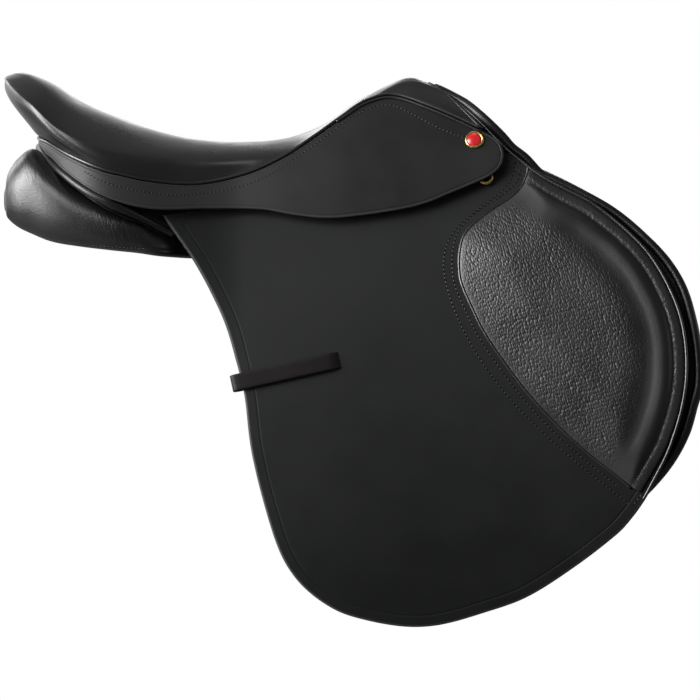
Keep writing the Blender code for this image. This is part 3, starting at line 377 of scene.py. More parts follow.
def pattern(outline, pitch, rings=EDGE_RINGS, holes=(), smooth=True):
    """A flat leather pattern, triangulated: fine along its edges and even inside."""
    edge = ring_spline(outline, 2.5) if smooth else np.array(outline, float)
    lines = [edge] + [np.array(h, float) for h in holes]
    pts = [np.vstack(lines)]
    for line in lines:
        tangent = np.roll(line, -1, axis=0) - np.roll(line, 1, axis=0)
        normal = unit(np.stack([-tangent[:, 1], tangent[:, 0]], 1))
        for sign in (1, -1):
            for k, d in enumerate(rings):
                if line is not edge and d > 2.5:
                    continue
                near = line + normal * d * sign
                near = near[(k % 2)::(2 if d > 3 else 1)]
                near = near[within(near, lines)]
                if len(near):
                    pts.append(near[edge_gap(near, lines) > d * 0.97])
    low, high = edge.min(0), edge.max(0)
    gx = np.arange(low[0], high[0], pitch)
    gz = np.arange(low[1], high[1], pitch * 0.866)
    grid = np.array([(x + (pitch / 2 if j % 2 else 0), z) for j, z in enumerate(gz) for x in gx])
    grid = grid[within(grid, lines)]
    pts.append(grid[edge_gap(grid, lines) > rings[-1] + pitch * 0.45])
    edges, start = [], 0
    for line in lines:
        edges += [(start + k, start + (k + 1) % len(line)) for k in range(len(line))]
        start += len(line)
    out = delaunay_2d_cdt([Vector(p) for p in np.vstack(pts)], edges, [], 0, 1e-5)
    flat = np.array([tuple(p) for p in out[0]])
    faces = np.array([f for f in out[2] if len(f) == 3])
    faces = faces[within(flat[faces].mean(1), lines)]
    gap = edge_gap(flat, lines)
    gap[gap < 1e-3] = 0.0
    return flat, faces, gap


def laid(name, cut, upper, lower, wall, material, sign, body, stands_for, values=None):
    """A piece between two skins of one pattern, with the distance from its edge as a value."""
    flat, faces, gap = cut
    all_faces = [*faces, *(faces[:, ::-1] + len(flat)), *wall]
    values = {key: np.concatenate([v, v]) for key, v in (values or {}).items()}
    return piece(name, np.vstack([upper, lower]) * [1, sign, 1], all_faces, material, body, stands_for,
                 {"edge": np.concatenate([gap, gap + 20]), **values})


def sheet(name, cut, outer, thick, material, sign, body, stands_for=(), values=None):
    """A sheet of leather with rounded edges on the saddle's side."""
    flat, _, gap = cut
    r = thick / 2
    drop = r - np.sqrt(np.maximum(r * r - (r - np.minimum(gap, r)) ** 2, 0))
    upper, lower = (side(*flat.T, depth) for depth in (outer + drop, outer + thick - drop))
    lower[gap == 0] = upper[gap == 0]
    return laid(name, cut, upper, lower, (), material, sign, body, stands_for, values)


def stuffed(name, cut, outer, under, material, sign, body, stands_for, values=None):
    """A pad with a flat underside and a wall round its edge."""
    flat, faces, _ = cut
    count, uses = len(flat), {}
    for f in faces:
        for p, q in zip(f, np.roll(f, -1)):
            uses.setdefault(frozenset((p, q)), []).append((p, q))
    wall = [(q, p, p + count, q + count) for (p, q), *more in uses.values() if not more]
    upper, lower = side(*flat.T, outer), side(*flat.T, under)
    return laid(name, cut, upper, lower, wall, material, sign, body, stands_for, values)


def tube(name, path, radius, material, sign=1, body="saddle", stands_for=(), sides=12, closed=False):
    """A round cord along a path of millimetre points."""
    path = np.asarray(path, float) * [1, sign, 1]
    n = len(path)
    ahead = np.roll(path, -1, axis=0) - np.roll(path, 1, axis=0)
    if not closed:
        ahead[0], ahead[-1] = path[1] - path[0], path[-1] - path[-2]
    ahead = unit(ahead)
    guide = np.array([0.0, sign, 0.3])
    up = unit(guide - (ahead @ guide)[:, None] * ahead)
    across = np.cross(ahead, up)
    a = angles(sides)[:, None]
    verts = path[:, None] + (up[:, None] * np.cos(a) + across[:, None] * np.sin(a)) * radius
    verts, faces = verts.reshape(-1, 3), list(lattice(n, sides, closed))
    if not closed:
        verts = np.vstack([verts, path[0] - ahead[0] * radius / 2, path[-1] + ahead[-1] * radius / 2])
        for end, tip in ((0, n * sides), ((n - 1) * sides, n * sides + 1)):
            faces += [(end + k, end + (k + 1) % sides, tip) for k in range(sides)]
    return piece(name, verts, faces, material, body, stands_for)


# one stitch and one needle hole: points along, across and out of the leather, and faces
STITCH = ([(-0.5, 0, -0.5), (-0.28, 0.5, 0), (0.28, 0.5, 0), (0.5, 0, -0.5), (0.28, -0.5, 0),
           (-0.28, -0.5, 0), (-0.26, 0, 0.75), (0.26, 0, 0.75), (-0.4, 0, -0.9), (0.4, 0, -0.9)],
          [(0, 1, 6), (0, 6, 5), (1, 2, 7, 6), (5, 6, 7, 4), (2, 3, 7), (3, 4, 7),
           (0, 8, 1), (8, 9, 2, 1), (9, 3, 2), (0, 5, 8), (8, 5, 4, 9), (9, 4, 3)])
HOLE = ([(math.cos(a), math.sin(a), 0.05) for a in angles(6)] + [(0, 0, -0.5), (0, 0, 0.07)],
        [f for i in range(6) for f in ((i, (i + 1) % 6, 6), ((i + 1) % 6, i, 7))])


def stamp(verts, faces, place, axes, form, scale):
    """Add one small form at a place, along its three axes, to lists of points and faces."""
    points, form_faces = form
    faces += [tuple(len(verts) + i for i in f) for f in form_faces]
    verts += list(place + np.array(points) * scale @ np.array(axes))


def stitches(name, line, depth, sign, body="saddle", pitch=3.9, size=0.5, thread=None):
    """A row of sewn stitches along a line on the saddle's side, with near-black discs of painted shade for
    the needle holes between them.
    """
    line = resample(line, 0.8)
    path, above = side(*line.T, depth), side(*line.T, depth - 2.0)
    length = lengths(path)
    verts, faces, kinds = [], [], []
    stitch_scale, hole_scale = (pitch * 0.5, size * 1.6, size * 0.8), (size * 1.35, size * 1.35, 1)
    for k in range(int(length[-1] / pitch)):
        for s, form, scale, kind in (((k + 0.5) * pitch, STITCH, stitch_scale, 0),
                                     (k * pitch, HOLE, hole_scale, 1)):
            p, q, o = (np.array([np.interp(at, length, of[:, c]) for c in range(3)])
                       for at, of in ((s, path), (s + 0.6, path), (s, above)))
            ahead, out = unit(q - p), unit(o - p)
            stamp(verts, faces, p, (ahead, np.cross(ahead, out), out), form, scale)
            kinds += [kind] * len(form[1])
    return build(name, np.array(verts) * [1, sign, 1], faces, [thread or THREAD_MAT, HOLE_SHADE_MAT], body,
                 kinds=kinds)


# Finishes

def feed(tree, made, inputs):
    """Give a node's inputs a number, a colour or another node's output."""
    for key, value in inputs.items():
        if isinstance(value, bpy.types.NodeSocket):
            tree.links.new(value, made.inputs[key])
        else:
            made.inputs[key].default_value = value


def node(tree, kind, inputs=None, **settings):
    """A shader node with its settings and inputs."""
    made = tree.nodes.new("ShaderNode" + kind)
    for key, value in settings.items():
        setattr(made, key, value)
    feed(tree, made, inputs or {})
    return made


def calc(tree, operation, *values):
    """The result of one arithmetic step on numbers and outputs."""
    return node(tree, "Math", dict(enumerate(values)), operation=operation).outputs[0]


def span_node(tree, value, low, high, to_low=0.0, to_high=1.0):
    """A smooth change from one number to another while a value goes from low to high."""
    return node(tree, "MapRange", dict(enumerate((value, low, high, to_low, to_high))),
                interpolation_type="SMOOTHSTEP").outputs[0]


def mix(tree, factor, a, b):
    """A colour between two; each is four numbers or another node's output."""
    return node(tree, "Mix", {"Factor": factor, "A": a, "B": b}, data_type="RGBA").outputs["Result"]


def noise(tree, place, scale, output="Fac", **more):
    """Cloudy noise of a scale."""
    return node(tree, "TexNoise", {"Vector": place, "Scale": scale, **more}).outputs[output]


def warped(tree, place, scale, amount, **more):
    """A place moved about by noise."""
    swirl = noise(tree, place, scale, "Color", **more)
    return node(tree, "VectorMath", {0: swirl, 1: (amount,) * 3, 2: place},
                operation="MULTIPLY_ADD").outputs[0]


def attribute(tree, name):
    """A value that is stored on the mesh."""
    return node(tree, "Attribute", attribute_name=name).outputs["Fac"]


def object_place(tree):
    """The place on the object, in metres."""
    return node(tree, "TexCoord").outputs["Object"]


def relief(tree, height):
    """Bumps of a height in metres."""
    return node(tree, "Bump", {"Strength": 1.0, "Distance": 1.0, "Height": height}).outputs["Normal"]


def group(name, inputs, outputs):
    """An empty shared shader group: the sockets it is given, and its output node."""
    tree = bpy.data.node_groups.new(name, "ShaderNodeTree")
    for way, labels in (("INPUT", inputs), ("OUTPUT", outputs)):
        for label in labels:
            kind = "NodeSocketVector" if label == "Place" else "NodeSocketFloat"
            tree.interface.new_socket(label, in_out=way, socket_type=kind)
    return tree, tree.nodes.new("NodeGroupInput").outputs, tree.nodes.new("NodeGroupOutput")


def grain_group():
    """Leather grain: small cells as a height, and a broad mottle."""
    tree, given, out = group("leather grain", ("Place", "Cells"), ("Height", "Mottle"))
    place = given["Place"]
    cells = {"Vector": warped(tree, place, 420.0, 0.0012), "Scale": given["Cells"]}
    cell = node(tree, "TexVoronoi", cells, feature="DISTANCE_TO_EDGE").outputs["Distance"]
    height = calc(tree, "MULTIPLY_ADD", noise(tree, place, 1600.0, Detail=3.0), 0.25,
                  span_node(tree, cell, 0.0, 0.35))
    feed(tree, out, {"Height": height, "Mottle": noise(tree, place, 22.0, Detail=4.0)})
    return tree


def pebble_group():
    """Pebbled leather: rounded bumps of uneven size as a height, and a broad mottle."""
    tree, given, out = group("pebbles", ("Place", "Cells"), ("Height", "Mottle"))
    place = given["Place"]
    parts = node(tree, "SeparateXYZ", {0: warped(tree, place, 230.0, 0.0008, Detail=1.0)}).outputs
    flat = node(tree, "CombineXYZ", {"X": parts["X"], "Y": parts["Z"]}).outputs[0]
    cells = {"Vector": flat, "Scale": given["Cells"], "Smoothness": 0.3, "Randomness": 0.7}
    off = node(tree, "TexVoronoi", cells, voronoi_dimensions="2D", feature="SMOOTH_F1").outputs["Distance"]
    height = calc(tree, "MULTIPLY_ADD", calc(tree, "MULTIPLY", off, off), -2.2, 1.0)
    height = calc(tree, "MULTIPLY_ADD", noise(tree, place, 900.0), 0.12, height)
    feed(tree, out, {"Height": height, "Mottle": noise(tree, place, 30.0, Detail=3.0)})
    return tree


def crease_group():
    """A pressed line in leather at a distance given by a value on the mesh, in millimetres."""
    tree, given, out = group("crease", ("Distance", "At", "Half width", "Depth"), ("Height", "Mask"))
    off = calc(tree, "SUBTRACT", given["Distance"], given["At"])
    off = calc(tree, "DIVIDE", off, given["Half width"])
    mask = calc(tree, "EXPONENT", calc(tree, "MULTIPLY", calc(tree, "MULTIPLY", off, off), -1.0))
    height = calc(tree, "MULTIPLY", calc(tree, "MULTIPLY", mask, given["Depth"]), -1.0)
    feed(tree, out, {"Height": height, "Mask": mask})
    return tree


def wrinkle_group():
    """Gathered leather: soft folds across a seam, as a height in metres."""
    tree, given, out = group("wrinkles", ("Place", "Across", "Along", "Depth"), ("Height",))
    parts = node(tree, "SeparateXYZ", {0: given["Place"]}).outputs
    slanted = calc(tree, "MULTIPLY_ADD", parts["Z"], 0.28, parts["X"])
    joined = node(tree, "CombineXYZ", {"X": calc(tree, "MULTIPLY", slanted, given["Across"]),
                                       "Y": calc(tree, "MULTIPLY", parts["Y"], 20.0),
                                       "Z": calc(tree, "MULTIPLY", parts["Z"], given["Along"])})
    folds = noise(tree, joined.outputs[0], 1.0, Detail=2.0, Distortion=0.6)
    feed(tree, out, {"Height": calc(tree, "MULTIPLY", folds, given["Depth"])})
    return tree


def weave_group():
    """Plain woven webbing: threads over and under, as a height."""
    tree, given, out = group("weave", ("Place", "Threads"), ("Height",))
    parts = node(tree, "SeparateXYZ", {0: given["Place"]}).outputs
    waves = []
    for axis in ("X", "Y"):
        turn = calc(tree, "MULTIPLY", parts[axis], given["Threads"])
        waves.append(calc(tree, "SINE", calc(tree, "MULTIPLY", turn, math.pi)))
    feed(tree, out, {"Height": calc(tree, "MULTIPLY_ADD", calc(tree, "MULTIPLY", *waves), 0.5, 0.5)})
    return tree


GRAIN, PEBBLE, CREASE = grain_group(), pebble_group(), crease_group()
WRINKLES, WEAVE = wrinkle_group(), weave_group()


def new_material(name):
    """A material with its node tree and shader."""
    made = bpy.data.materials.new(name)
    made.use_nodes = True
    return made, made.node_tree, made.node_tree.nodes["Principled BSDF"]


def leather(name, dark, light, rough, specular, cells, depth, lean=0.0, stretch=1.0,
            rough_swing=0.06, crease=None, grain_mask=None, wrinkle=None, rim=0.0, pebble=False,
            painted_light=None):
    """A leather: two tones, roughness, grain cells per metre and grain depth in metres."""
    made, tree, shader = new_material(name)
    still = place = object_place(tree)
    if stretch != 1.0:
        turned = {"Vector": place, "Rotation": (0.0, lean, 0.0), "Scale": (stretch, 1.0, 1.0)}
        place = node(tree, "Mapping", turned, vector_type="TEXTURE").outputs["Vector"]
    grain = node(tree, "Group", {"Cells": cells, "Place": place}, node_tree=PEBBLE if pebble else GRAIN)
    mottle = grain.outputs["Mottle"]
    tone = mottle
    # painted light and shade: a value stored on the mesh moves the tone between its dark and light colours
    if painted_light:
        tone = calc(tree, "MULTIPLY_ADD", mottle, 0.15, calc(tree, "MULTIPLY", attribute(tree, painted_light), 0.85))
    colour = mix(tree, tone, (*dark, 1), (*light, 1))
    height = calc(tree, "MULTIPLY", grain.outputs["Height"], depth)
    if grain_mask:
        height = calc(tree, "MULTIPLY", height, attribute(tree, grain_mask))
    if crease:
        source, at, half, deep = crease
        pressed = {"Distance": attribute(tree, source), "At": at, "Half width": half, "Depth": deep}
        pressed = node(tree, "Group", pressed, node_tree=CREASE)
        height = calc(tree, "ADD", height, pressed.outputs["Height"])
    if wrinkle:
        source, across, lengthways, deep = wrinkle
        folds = {"Place": still, "Across": across, "Along": lengthways, "Depth": deep}
        folds = node(tree, "Group", folds, node_tree=WRINKLES).outputs["Height"]
        height = calc(tree, "ADD", height, calc(tree, "MULTIPLY", folds, attribute(tree, source)))
    # a burnished edge with a painted highlight: the colour is made paler in a band just inside the edge,
    # where it catches the light
    if rim:
        painted_edge_highlight = {"Distance": attribute(tree, "edge"), "At": 0.9, "Half width": 0.8}
        painted_edge_highlight = node(tree, "Group", painted_edge_highlight, node_tree=CREASE).outputs["Mask"]
        colour = mix(tree, painted_edge_highlight, colour, (rim, rim, rim * 1.04, 1))
    swing = span_node(tree, mottle, 0.3, 0.7, rough - rough_swing, rough + rough_swing)
    feed(tree, shader, {"Base Color": colour, "Roughness": swing, "Specular IOR Level": specular,
                        "Normal": relief(tree, height)})
    return made


def plain(name, colour, rough, metal=0.0, specular=0.5, coat=0.0, scale=160.0, swing=0.18,
          stretch=(1, 1, 1), depth=0.00004, woven=0.0):
    """A finish with uneven tone, roughness and fine relief, stretched along its grain."""
    made, tree, shader = new_material(name)
    place = node(tree, "Mapping", {"Scale": stretch, "Vector": object_place(tree)}).outputs["Vector"]
    cloud = noise(tree, place, scale, Detail=5.0, Roughness=0.6)
    level, height = cloud, calc(tree, "MULTIPLY", cloud, depth)
    if woven:
        threads = node(tree, "Group", {"Threads": woven, "Place": place}, node_tree=WEAVE).outputs["Height"]
        level = calc(tree, "MULTIPLY_ADD", threads, 0.5, calc(tree, "MULTIPLY", level, 0.5))
        height = calc(tree, "MULTIPLY_ADD", threads, 0.0004, height)
    tone = mix(tree, span_node(tree, level, 0.3, 0.7), (*[c * (1 - swing) for c in colour], 1),
               (*[min(1, c * (1 + swing)) for c in colour], 1))
    roughness = span_node(tree, cloud, 0.3, 0.7, rough * 0.85, min(1, rough * 1.15))
    feed(tree, shader, {"Base Color": tone, "Roughness": roughness, "Normal": relief(tree, height),
                        "Metallic": metal, "Specular IOR Level": specular, "Coat Weight": coat})
    return made


SEAT_MAT = leather("seat leather", (0.0062, 0.0062, 0.0064), (0.0084, 0.0084, 0.0086), 0.31, 0.46,
                   900, 0.000006)
SKIRT_MAT = leather("skirt leather", (0.0066, 0.0066, 0.0068), (0.0235, 0.0235, 0.0238), 0.46, 0.18,
                    1100, 0.00002, crease=("edge", 2.6, 0.5, 0.0003), rim=0.035, painted_light="painted_light")
FLAP_MAT = leather("flap leather", (0.0030, 0.0032, 0.0033), (0.0128, 0.0132, 0.0134), 0.56, 0.12,
                   1100, 0.00002, crease=("edge", 10.5, 0.8, 0.00025), rim=0.045, painted_light="painted_light")
PAD_MAT = leather("pebbled leather", (0.0050, 0.0050, 0.0052), (0.0070, 0.0070, 0.0072), 0.40, 0.46,
                  490, 0.00025, lean=1.277, stretch=1.7, grain_mask="grain",
                  wrinkle=("pucker", 300.0, 300.0, 0.0006), pebble=True)
PANEL_MAT = leather("panel leather", (0.0022, 0.0022, 0.0024), (0.0034, 0.0034, 0.0036), 0.33, 0.50,
                    420, 0.00006, crease=("seam", 0.0, 1.0, 0.0008),
                    wrinkle=("wrinkle", 420.0, 60.0, 0.0009), rough_swing=0.04)
ROLL_MAT = leather("roll leather", (0.0030, 0.0030, 0.0031), (0.0045, 0.0045, 0.0046), 0.34, 0.32,
                   800, 0.00004)
LINING_MAT = leather("lining leather", (0.0040, 0.0040, 0.0040), (0.0060, 0.0060, 0.0060), 0.50, 0.20,
                     800, 0.00006)
STRAP_MAT = leather("strap leather", (0.0044, 0.0034, 0.0034), (0.0066, 0.0052, 0.0052), 0.46, 0.16,
                    1000, 0.00003)
WELT_MAT = leather("welt leather", (0.0070, 0.0070, 0.0072), (0.0100, 0.0100, 0.0103), 0.28, 0.55,
                   1000, 0.00003)
THREAD_MAT = plain("thread", (0.045, 0.046, 0.049), 0.5, specular=0.4, scale=900)
BAND_THREAD_MAT = plain("dark thread", (0.020, 0.020, 0.022), 0.5, specular=0.3, scale=900)
# painted shade: the needle holes are flat near-black discs standing in for the shade inside them
HOLE_SHADE_MAT = plain("needle hole", (0.0015, 0.0015, 0.0015), 0.8, specular=0.05, scale=900)
FOAM_MAT = plain("foam", (0.62, 0.57, 0.42), 0.9, scale=900, swing=0.1, depth=0.0006)
WEB_MAT = plain("webbing", (0.50, 0.45, 0.36), 0.85, scale=60, woven=700)
WOOD_MAT = plain("beech", (0.50, 0.34, 0.19), 0.6, scale=120, swing=0.22, stretch=(0.12, 1, 1),
                 depth=0.0001)
STEEL_MAT = plain("steel", (0.52, 0.53, 0.55), 0.35, 1.0, scale=400, swing=0.12, stretch=(0.2, 1, 1))
BRASS_MAT = plain("brass", (0.50, 0.33, 0.12), 0.30, 1.0, scale=500, swing=0.2, depth=0.00002)
ENAMEL_MAT = plain("enamel", (0.40, 0.008, 0.012), 0.22, coat=0.6, scale=300, swing=0.12, depth=0.0)

SOLID_FINISHES = {"tree_rail": WOOD_MAT, "tree_head": WOOD_MAT, "tree_cantle": WOOD_MAT,
                  "head_plate": STEEL_MAT, "spring_steel": STEEL_MAT, "stirrup_bar": STEEL_MAT,
                  "bar_catch": STEEL_MAT, "catch_rivet": STEEL_MAT, "front_dee": BRASS_MAT,
                  "dee_loop": STRAP_MAT, "head_facing": LINING_MAT, "seat_web": WEB_MAT,
                  "girth_web_front": WEB_MAT, "girth_web_rear": WEB_MAT}
for name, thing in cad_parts.items():
    finish = SOLID_FINISHES.get(name.removesuffix("_left").removesuffix("_right"))
    if finish:
        thing.data.materials.clear()
        thing.data.materials.append(finish)


# Seat

SEAT_THICK, FOAM_TOP = 1.8, 3.2
SEAT_ROWS = np.concatenate([np.linspace(0, 3, 60, endpoint=False), np.linspace(3, 14, 150)])
SEAT_COLS = np.concatenate([np.linspace(0, 0.5, 32, endpoint=False),
                            np.linspace(0.5, 0.8, 34, endpoint=False), np.linspace(0.8, 1, 20)])


def seat_at(t, v, depth):
    """A point at a depth under the seat leather's surface."""
    e, back, middle = 0.01, 0.15, 0.02
    t, v = np.broadcast_arrays(np.asarray(t, float), np.asarray(v, float))
    vs, ts = np.clip(v, middle, 1), np.clip(t, back, ROWS)
    along_t = seat(np.minimum(ts + e, ROWS), vs) - seat(ts - e, vs)
    across = seat(ts, np.minimum(vs + e, 1)) - seat(ts, vs - e)
    n = np.cross(along_t, across)
    n[..., 1] *= np.clip(np.minimum(t / back, v / middle), 0, 1)
    p = seat(t, v) - unit(n) * np.asarray(depth, float)[..., None]
    p[..., 1] = np.where((v < 1e-6) | (t < 1e-6), 0.0, p[..., 1])
    return p


def seat_sheet(name, rows, cols, outer, inner, material, stands_for):
    """A layer that follows the seat between two depths, both halves in one closed piece."""
    n, m = len(rows), len(cols)
    verts = [(seat_at(rows[:, None], cols, depth) * [1, sign, 1]).reshape(-1, 3)
             for sign in (1, -1) for depth in (outer, inner)]
    quads = lattice(n, m, around=False)
    seam, front = np.arange(n) * m + m - 1, (n - 1) * m + np.arange(m)
    faces = []
    for half, turn in ((0, 1), (2, -1)):
        top, low = half * n * m, (half + 1) * n * m
        faces += [*(quads + top)[:, ::turn], *(quads + low)[:, ::-turn]]
        faces += [(top + a, low + a, low + b, top + b) for a, b in zip(seam, seam[1:])]
        faces += [(top + a, top + b, low + b, low + a) for a, b in zip(front, front[1:])]
    return piece(name, np.vstack(verts), faces, material, "saddle", stands_for)


def seat_top(t, v):
    """Depth of the seat leather's face, which dips at its seam and at its front edge."""
    return 2.0 * np.clip((v - 0.955) / 0.045, 0, 1) ** 2 + np.clip((t - 13.9) / 0.1, 0, 1) ** 2


def foam_under(t, v):
    """Depth of the foam's underside, thinner where the seat turns over its rim."""
    return 9.6 - 4.6 * bell(v, 0.667, 0.13) * np.clip((8 - t) / 4, 0, 1)


leather_top = seat_top(SEAT_ROWS[:, None], SEAT_COLS)
seat_leather = seat_sheet("seat leather cover", SEAT_ROWS, SEAT_COLS, leather_top,
                          leather_top + SEAT_THICK, SEAT_MAT, ["seat_cover"])
foam_rows, foam_cols = SEAT_ROWS[SEAT_ROWS < 12.9], SEAT_COLS[SEAT_COLS < 0.86]
seat_foam = seat_sheet("seat foam pad", foam_rows, foam_cols, FOAM_TOP,
                       foam_under(foam_rows[:, None], foam_cols), FOAM_MAT, ["seat_foam"])


# Side leathers

def wz(points):
    """Outline points (x, z) as wrapped distance and height, keeping corner marks."""
    return [(float(wrap_of(p[0])), p[1], *p[2:]) for p in points]


SKIRT_LOW = [(-269.97, 107), (-252, 107), (-190, 104.5), (-171, 89.5), (-157, 80), (-137, 69.5),
             (-116, 62), (-97, 57.5), (-76, 55.5), (-38, 56), (14, 55), (44, 50), (74, 47), (104, 49),
             (145, 55), (170, 61), (192, 70), (214, 79), (231, 87), (240, 95), (243.5, 105), (242, 114),
             (237, 121)]
FLAP_RIM = [(-76, 54, 1), (-60, 31), (-45, 8), (-30, -21), (-18, -50), (-9, -83), (-2, -114), (5, -168),
            (21, -231), (35, -269), (54, -295), (83, -316), (113, -326), (151, -332), (182, -330),
            (221, -319), (261, -304), (304, -276), (345, -243), (359, -227), (370, -211), (376, -200),
            (395, -161), (409, -110), (410, -63), (400, -22), (375, 22), (331, 62), (298, 80),
            (280, 90), (258, 107), (247, 116), (236, 127.5), (226, 137.5, 1), (212, 141, 1), (196, 131),
            (165, 131), (130, 132), (108, 124), (88, 112), (60, 94), (34, 78), (0, 64), (-40, 58)]
BEAD_LINE = [(266, 99), (265, 92), (259, 79), (247, 68), (234.5, 60), (221, 50.5), (211, 42), (204, 32),
             (201, 20), (200, 6), (202, -10), (211, -32), (223, -57), (243, -87), (266, -117), (294, -147),
             (323, -173), (342, -187.5), (357, -200)]
PAD_FRONT = [(366, -205), (375, -189), (391.5, -158), (405.5, -110), (406.5, -63), (396.5, -23), (372, 19.5),
             (329, 58.5), (297, 76.5), (280, 86.5), (268, 95)]
PAD_RIM = ([(266, 96, 1)] + [(x + 1.2, z + 0.4) for x, z in BEAD_LINE[1:-1]]
           + [(359, -199.5, 1), (366, -204, 1)] + PAD_FRONT[1:-1] + [(268, 95.5, 1)])
BAND_OUTER = [(252, 100), (247, 86), (224, 64), (199, 42), (187, 19), (186, 0), (192, -25), (203, -53),
              (222, -86), (247, -119), (288, -160), (330, -195), (354, -214)]
SWEAT_RIM = [(-42, 40), (-34, 18), (-20, -30), (-4, -83), (4, -130), (14, -190), (34, -240), (60, -282),
             (100, -305), (150, -312), (200, -304), (260, -282), (310, -250), (359, -216), (374, -203),
             (395, -177), (410, -149), (418, -122), (423, -103), (423, -71), (418, -38), (410, -9),
             (395, 17), (371, 43), (347, 63), (316, 81), (283, 98), (260, 111), (246, 122), (238, 124, 1),
             (222, 88), (208, 70), (120, 60), (60, 55), (-10, 46, 1)]
BLOCK_RIM = [(268, 60), (300, 52), (345, 28), (378, -15), (394, -60), (396, -105), (384, -145),
             (366, -170), (348, -160), (352, -110), (344, -60), (322, -20), (290, 8), (262, 30)]
GUARD_RIM = [(17, 42, 1), (16, -60), (16, -112), (26, -124), (74, -130), (122, -124), (132, -112),
             (131, -60), (130, 56, 1), (74, 50)]

SKIRT_FOLD = ((-16, 57.5), (243, 115.4))
FLAP_FOLD = ((-50, 13), (300, 82.4))
BEND_REACH = 5.0


def bend(thing, fold, depth):
    """Bake a sheet's place into its mesh; two points either side of its fold line are worked out but not
    used.
    """
    fold = np.array(fold)
    along_x, along_z = fold[1] - fold[0]
    off = np.array([-along_z, along_x]) / math.hypot(along_x, along_z)
    ends = [side(*(fold.mean(0) + off * s), depth) for s in (BEND_REACH, -BEND_REACH)]
    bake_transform(thing)


top_line = inset(welt_wz(np.linspace(0.0, ROWS, 90)), -1.4)
skirt_rim = [(*SKIRT_LOW[0], 1), SKIRT_LOW[1], *wz(SKIRT_LOW[2:]), (*top_line[-1], 1),
             *top_line[-2:0:-3], (SKIRT_LOW[0][0], top_line[0][1], 1)]
skirt_cut = pattern(skirt_rim, 4.0)
flap_cut = pattern(FLAP_RIM, 5.0)
pad_cut = pattern(PAD_RIM, 1.9, rings=(0.35, 0.8, 1.4, 2.2, 3.2, 4.4, 5.8))
sweat_cut = pattern(SWEAT_RIM, 7.0)
block_cut = pattern(BLOCK_RIM, 4.0)
guard_cut = pattern(GUARD_RIM, 6.0)

bead = ring_spline(BEAD_LINE, 2.0, closed=False)
front_gap, front_along = nearest(pad_cut[0], ring_spline(PAD_FRONT, 2.0, closed=False))
inner_gap, _ = nearest(pad_cut[0], bead)


def soft_min(a, b):
    """The lower of two heights, with the corner between them rounded."""
    k = 1.6
    h = np.clip(0.5 + 0.5 * (b - a) / k, 0, 1)
    return b * (1 - h) + a * h - k * h * (1 - h)


# height of the knee pad over the flap, by the distance from its front edge, from its inner border,
# and from its front edge near the top
FRONT_SHAPE = [(0, 1.2), (2, 2.0), (7.5, 2.4), (9.5, 1.6), (12, 4.2), (15.5, 6.7), (19, 7.5), (23, 7.3),
               (29, 6.7), (33, 6.8), (38, 7.7), (48, 9.7), (60, 10.6), (120, 10.9)]
BORDER_SHAPE = [(0, 0.0), (1.5, 1.7), (4, 2.5), (8, 3.3), (20, 5.7), (35, 8.2), (55, 10.4), (80, 11.2),
                (120, 11.3)]
TOP_SHAPE = [(0, 1.2), (2, 2.0), (7.5, 2.4), (9.5, 1.8), (12, 4.4), (15.5, 6.8), (20, 8.4), (28, 9.4),
             (38, 9.9), (62, 10.4), (120, 10.9)]
PAD_SINK = 0.1


def pad_depth():
    """Depth of the knee pad's leather: crowned, with a gathered strip and a ridge along its front."""
    valley = ease((front_along.max() - front_along) / 110)
    front = along(FRONT_SHAPE, front_gap) * valley + along(TOP_SHAPE, front_gap) * (1 - valley)
    folds = (0.16 * np.sin(front_along * 1.35 + 1.8 * np.sin(front_along * 0.31))
             + 0.12 * np.sin(front_along * 2.3))
    front = front + bell(front_gap, 9.8, 2.6) * folds
    return PAD_DEPTH - PAD_SINK - soft_min(along(BORDER_SHAPE, inner_gap), front)


pad_values = {
    "grain": np.clip((front_gap - 29) / 14, 0.03, 1) * np.clip((100 - pad_cut[0][:, 1]) / 60, 0.15, 1)
    * np.clip(inner_gap / 9, 0.25, 1),
    "pucker": bell(front_gap, 7.5, 3.6),
}

# painted shade: the flap's colour is made darker towards its lower front corner, standing in for the light
# falling off there
flap_x, flap_z = flap_cut[0].T
painted_flap_shade = np.clip(1.0 - (0.0019 * (flap_x - 40) - 0.0024 * (flap_z + 40)), 0.0, 1.0)

# painted sheen: the skirt's colour is made paler about its middle and darker towards its front, standing in
# for a lamp's sheen
painted_skirt_sheen = along([(-330, 0.5), (-50, 0.95), (145, 0.05), (245, 0.1)], skirt_cut[0][:, 0])

# the front block is crowned towards its middle
BLOCK_EDGE, BLOCK_CROWN = 21.0, 5.3
block_depth = BLOCK_EDGE - BLOCK_CROWN * np.sin(np.clip(block_cut[2] / 16, 0, 1) * math.pi / 2)

BILLET_HALF, BILLET_HOLE, HOLE_STEP = 12.5, 2.0, 25
BILLET_TIP = [(-BILLET_HALF, -224), (-8.3, -231), (-4, -236), (4, -236), (8.3, -231),
              (BILLET_HALF, -224)]
billet_cuts = {}
for place, x in (("front", 105.0), ("middle", 69.0), ("rear", 33.0)):
    rim = [(x - BILLET_HALF, z) for z in np.arange(58, -224, -3.0)]
    rim += [(x + dx, z) for dx, z in BILLET_TIP]
    rim += [(x + BILLET_HALF, z) for z in np.arange(-221, 59, 3.0)]
    rim += [(x + BILLET_HALF - 3 * k, 58) for k in range(1, 8)]
    holes = [[(x + BILLET_HOLE * math.cos(a), -214 + HOLE_STEP * k + BILLET_HOLE * math.sin(a))
              for a in angles(12)] for k in range(9)]
    billet_cuts[place] = pattern(rim, 5.0, rings=(0.4, 0.9, 1.75, 3.0), holes=holes, smooth=False)

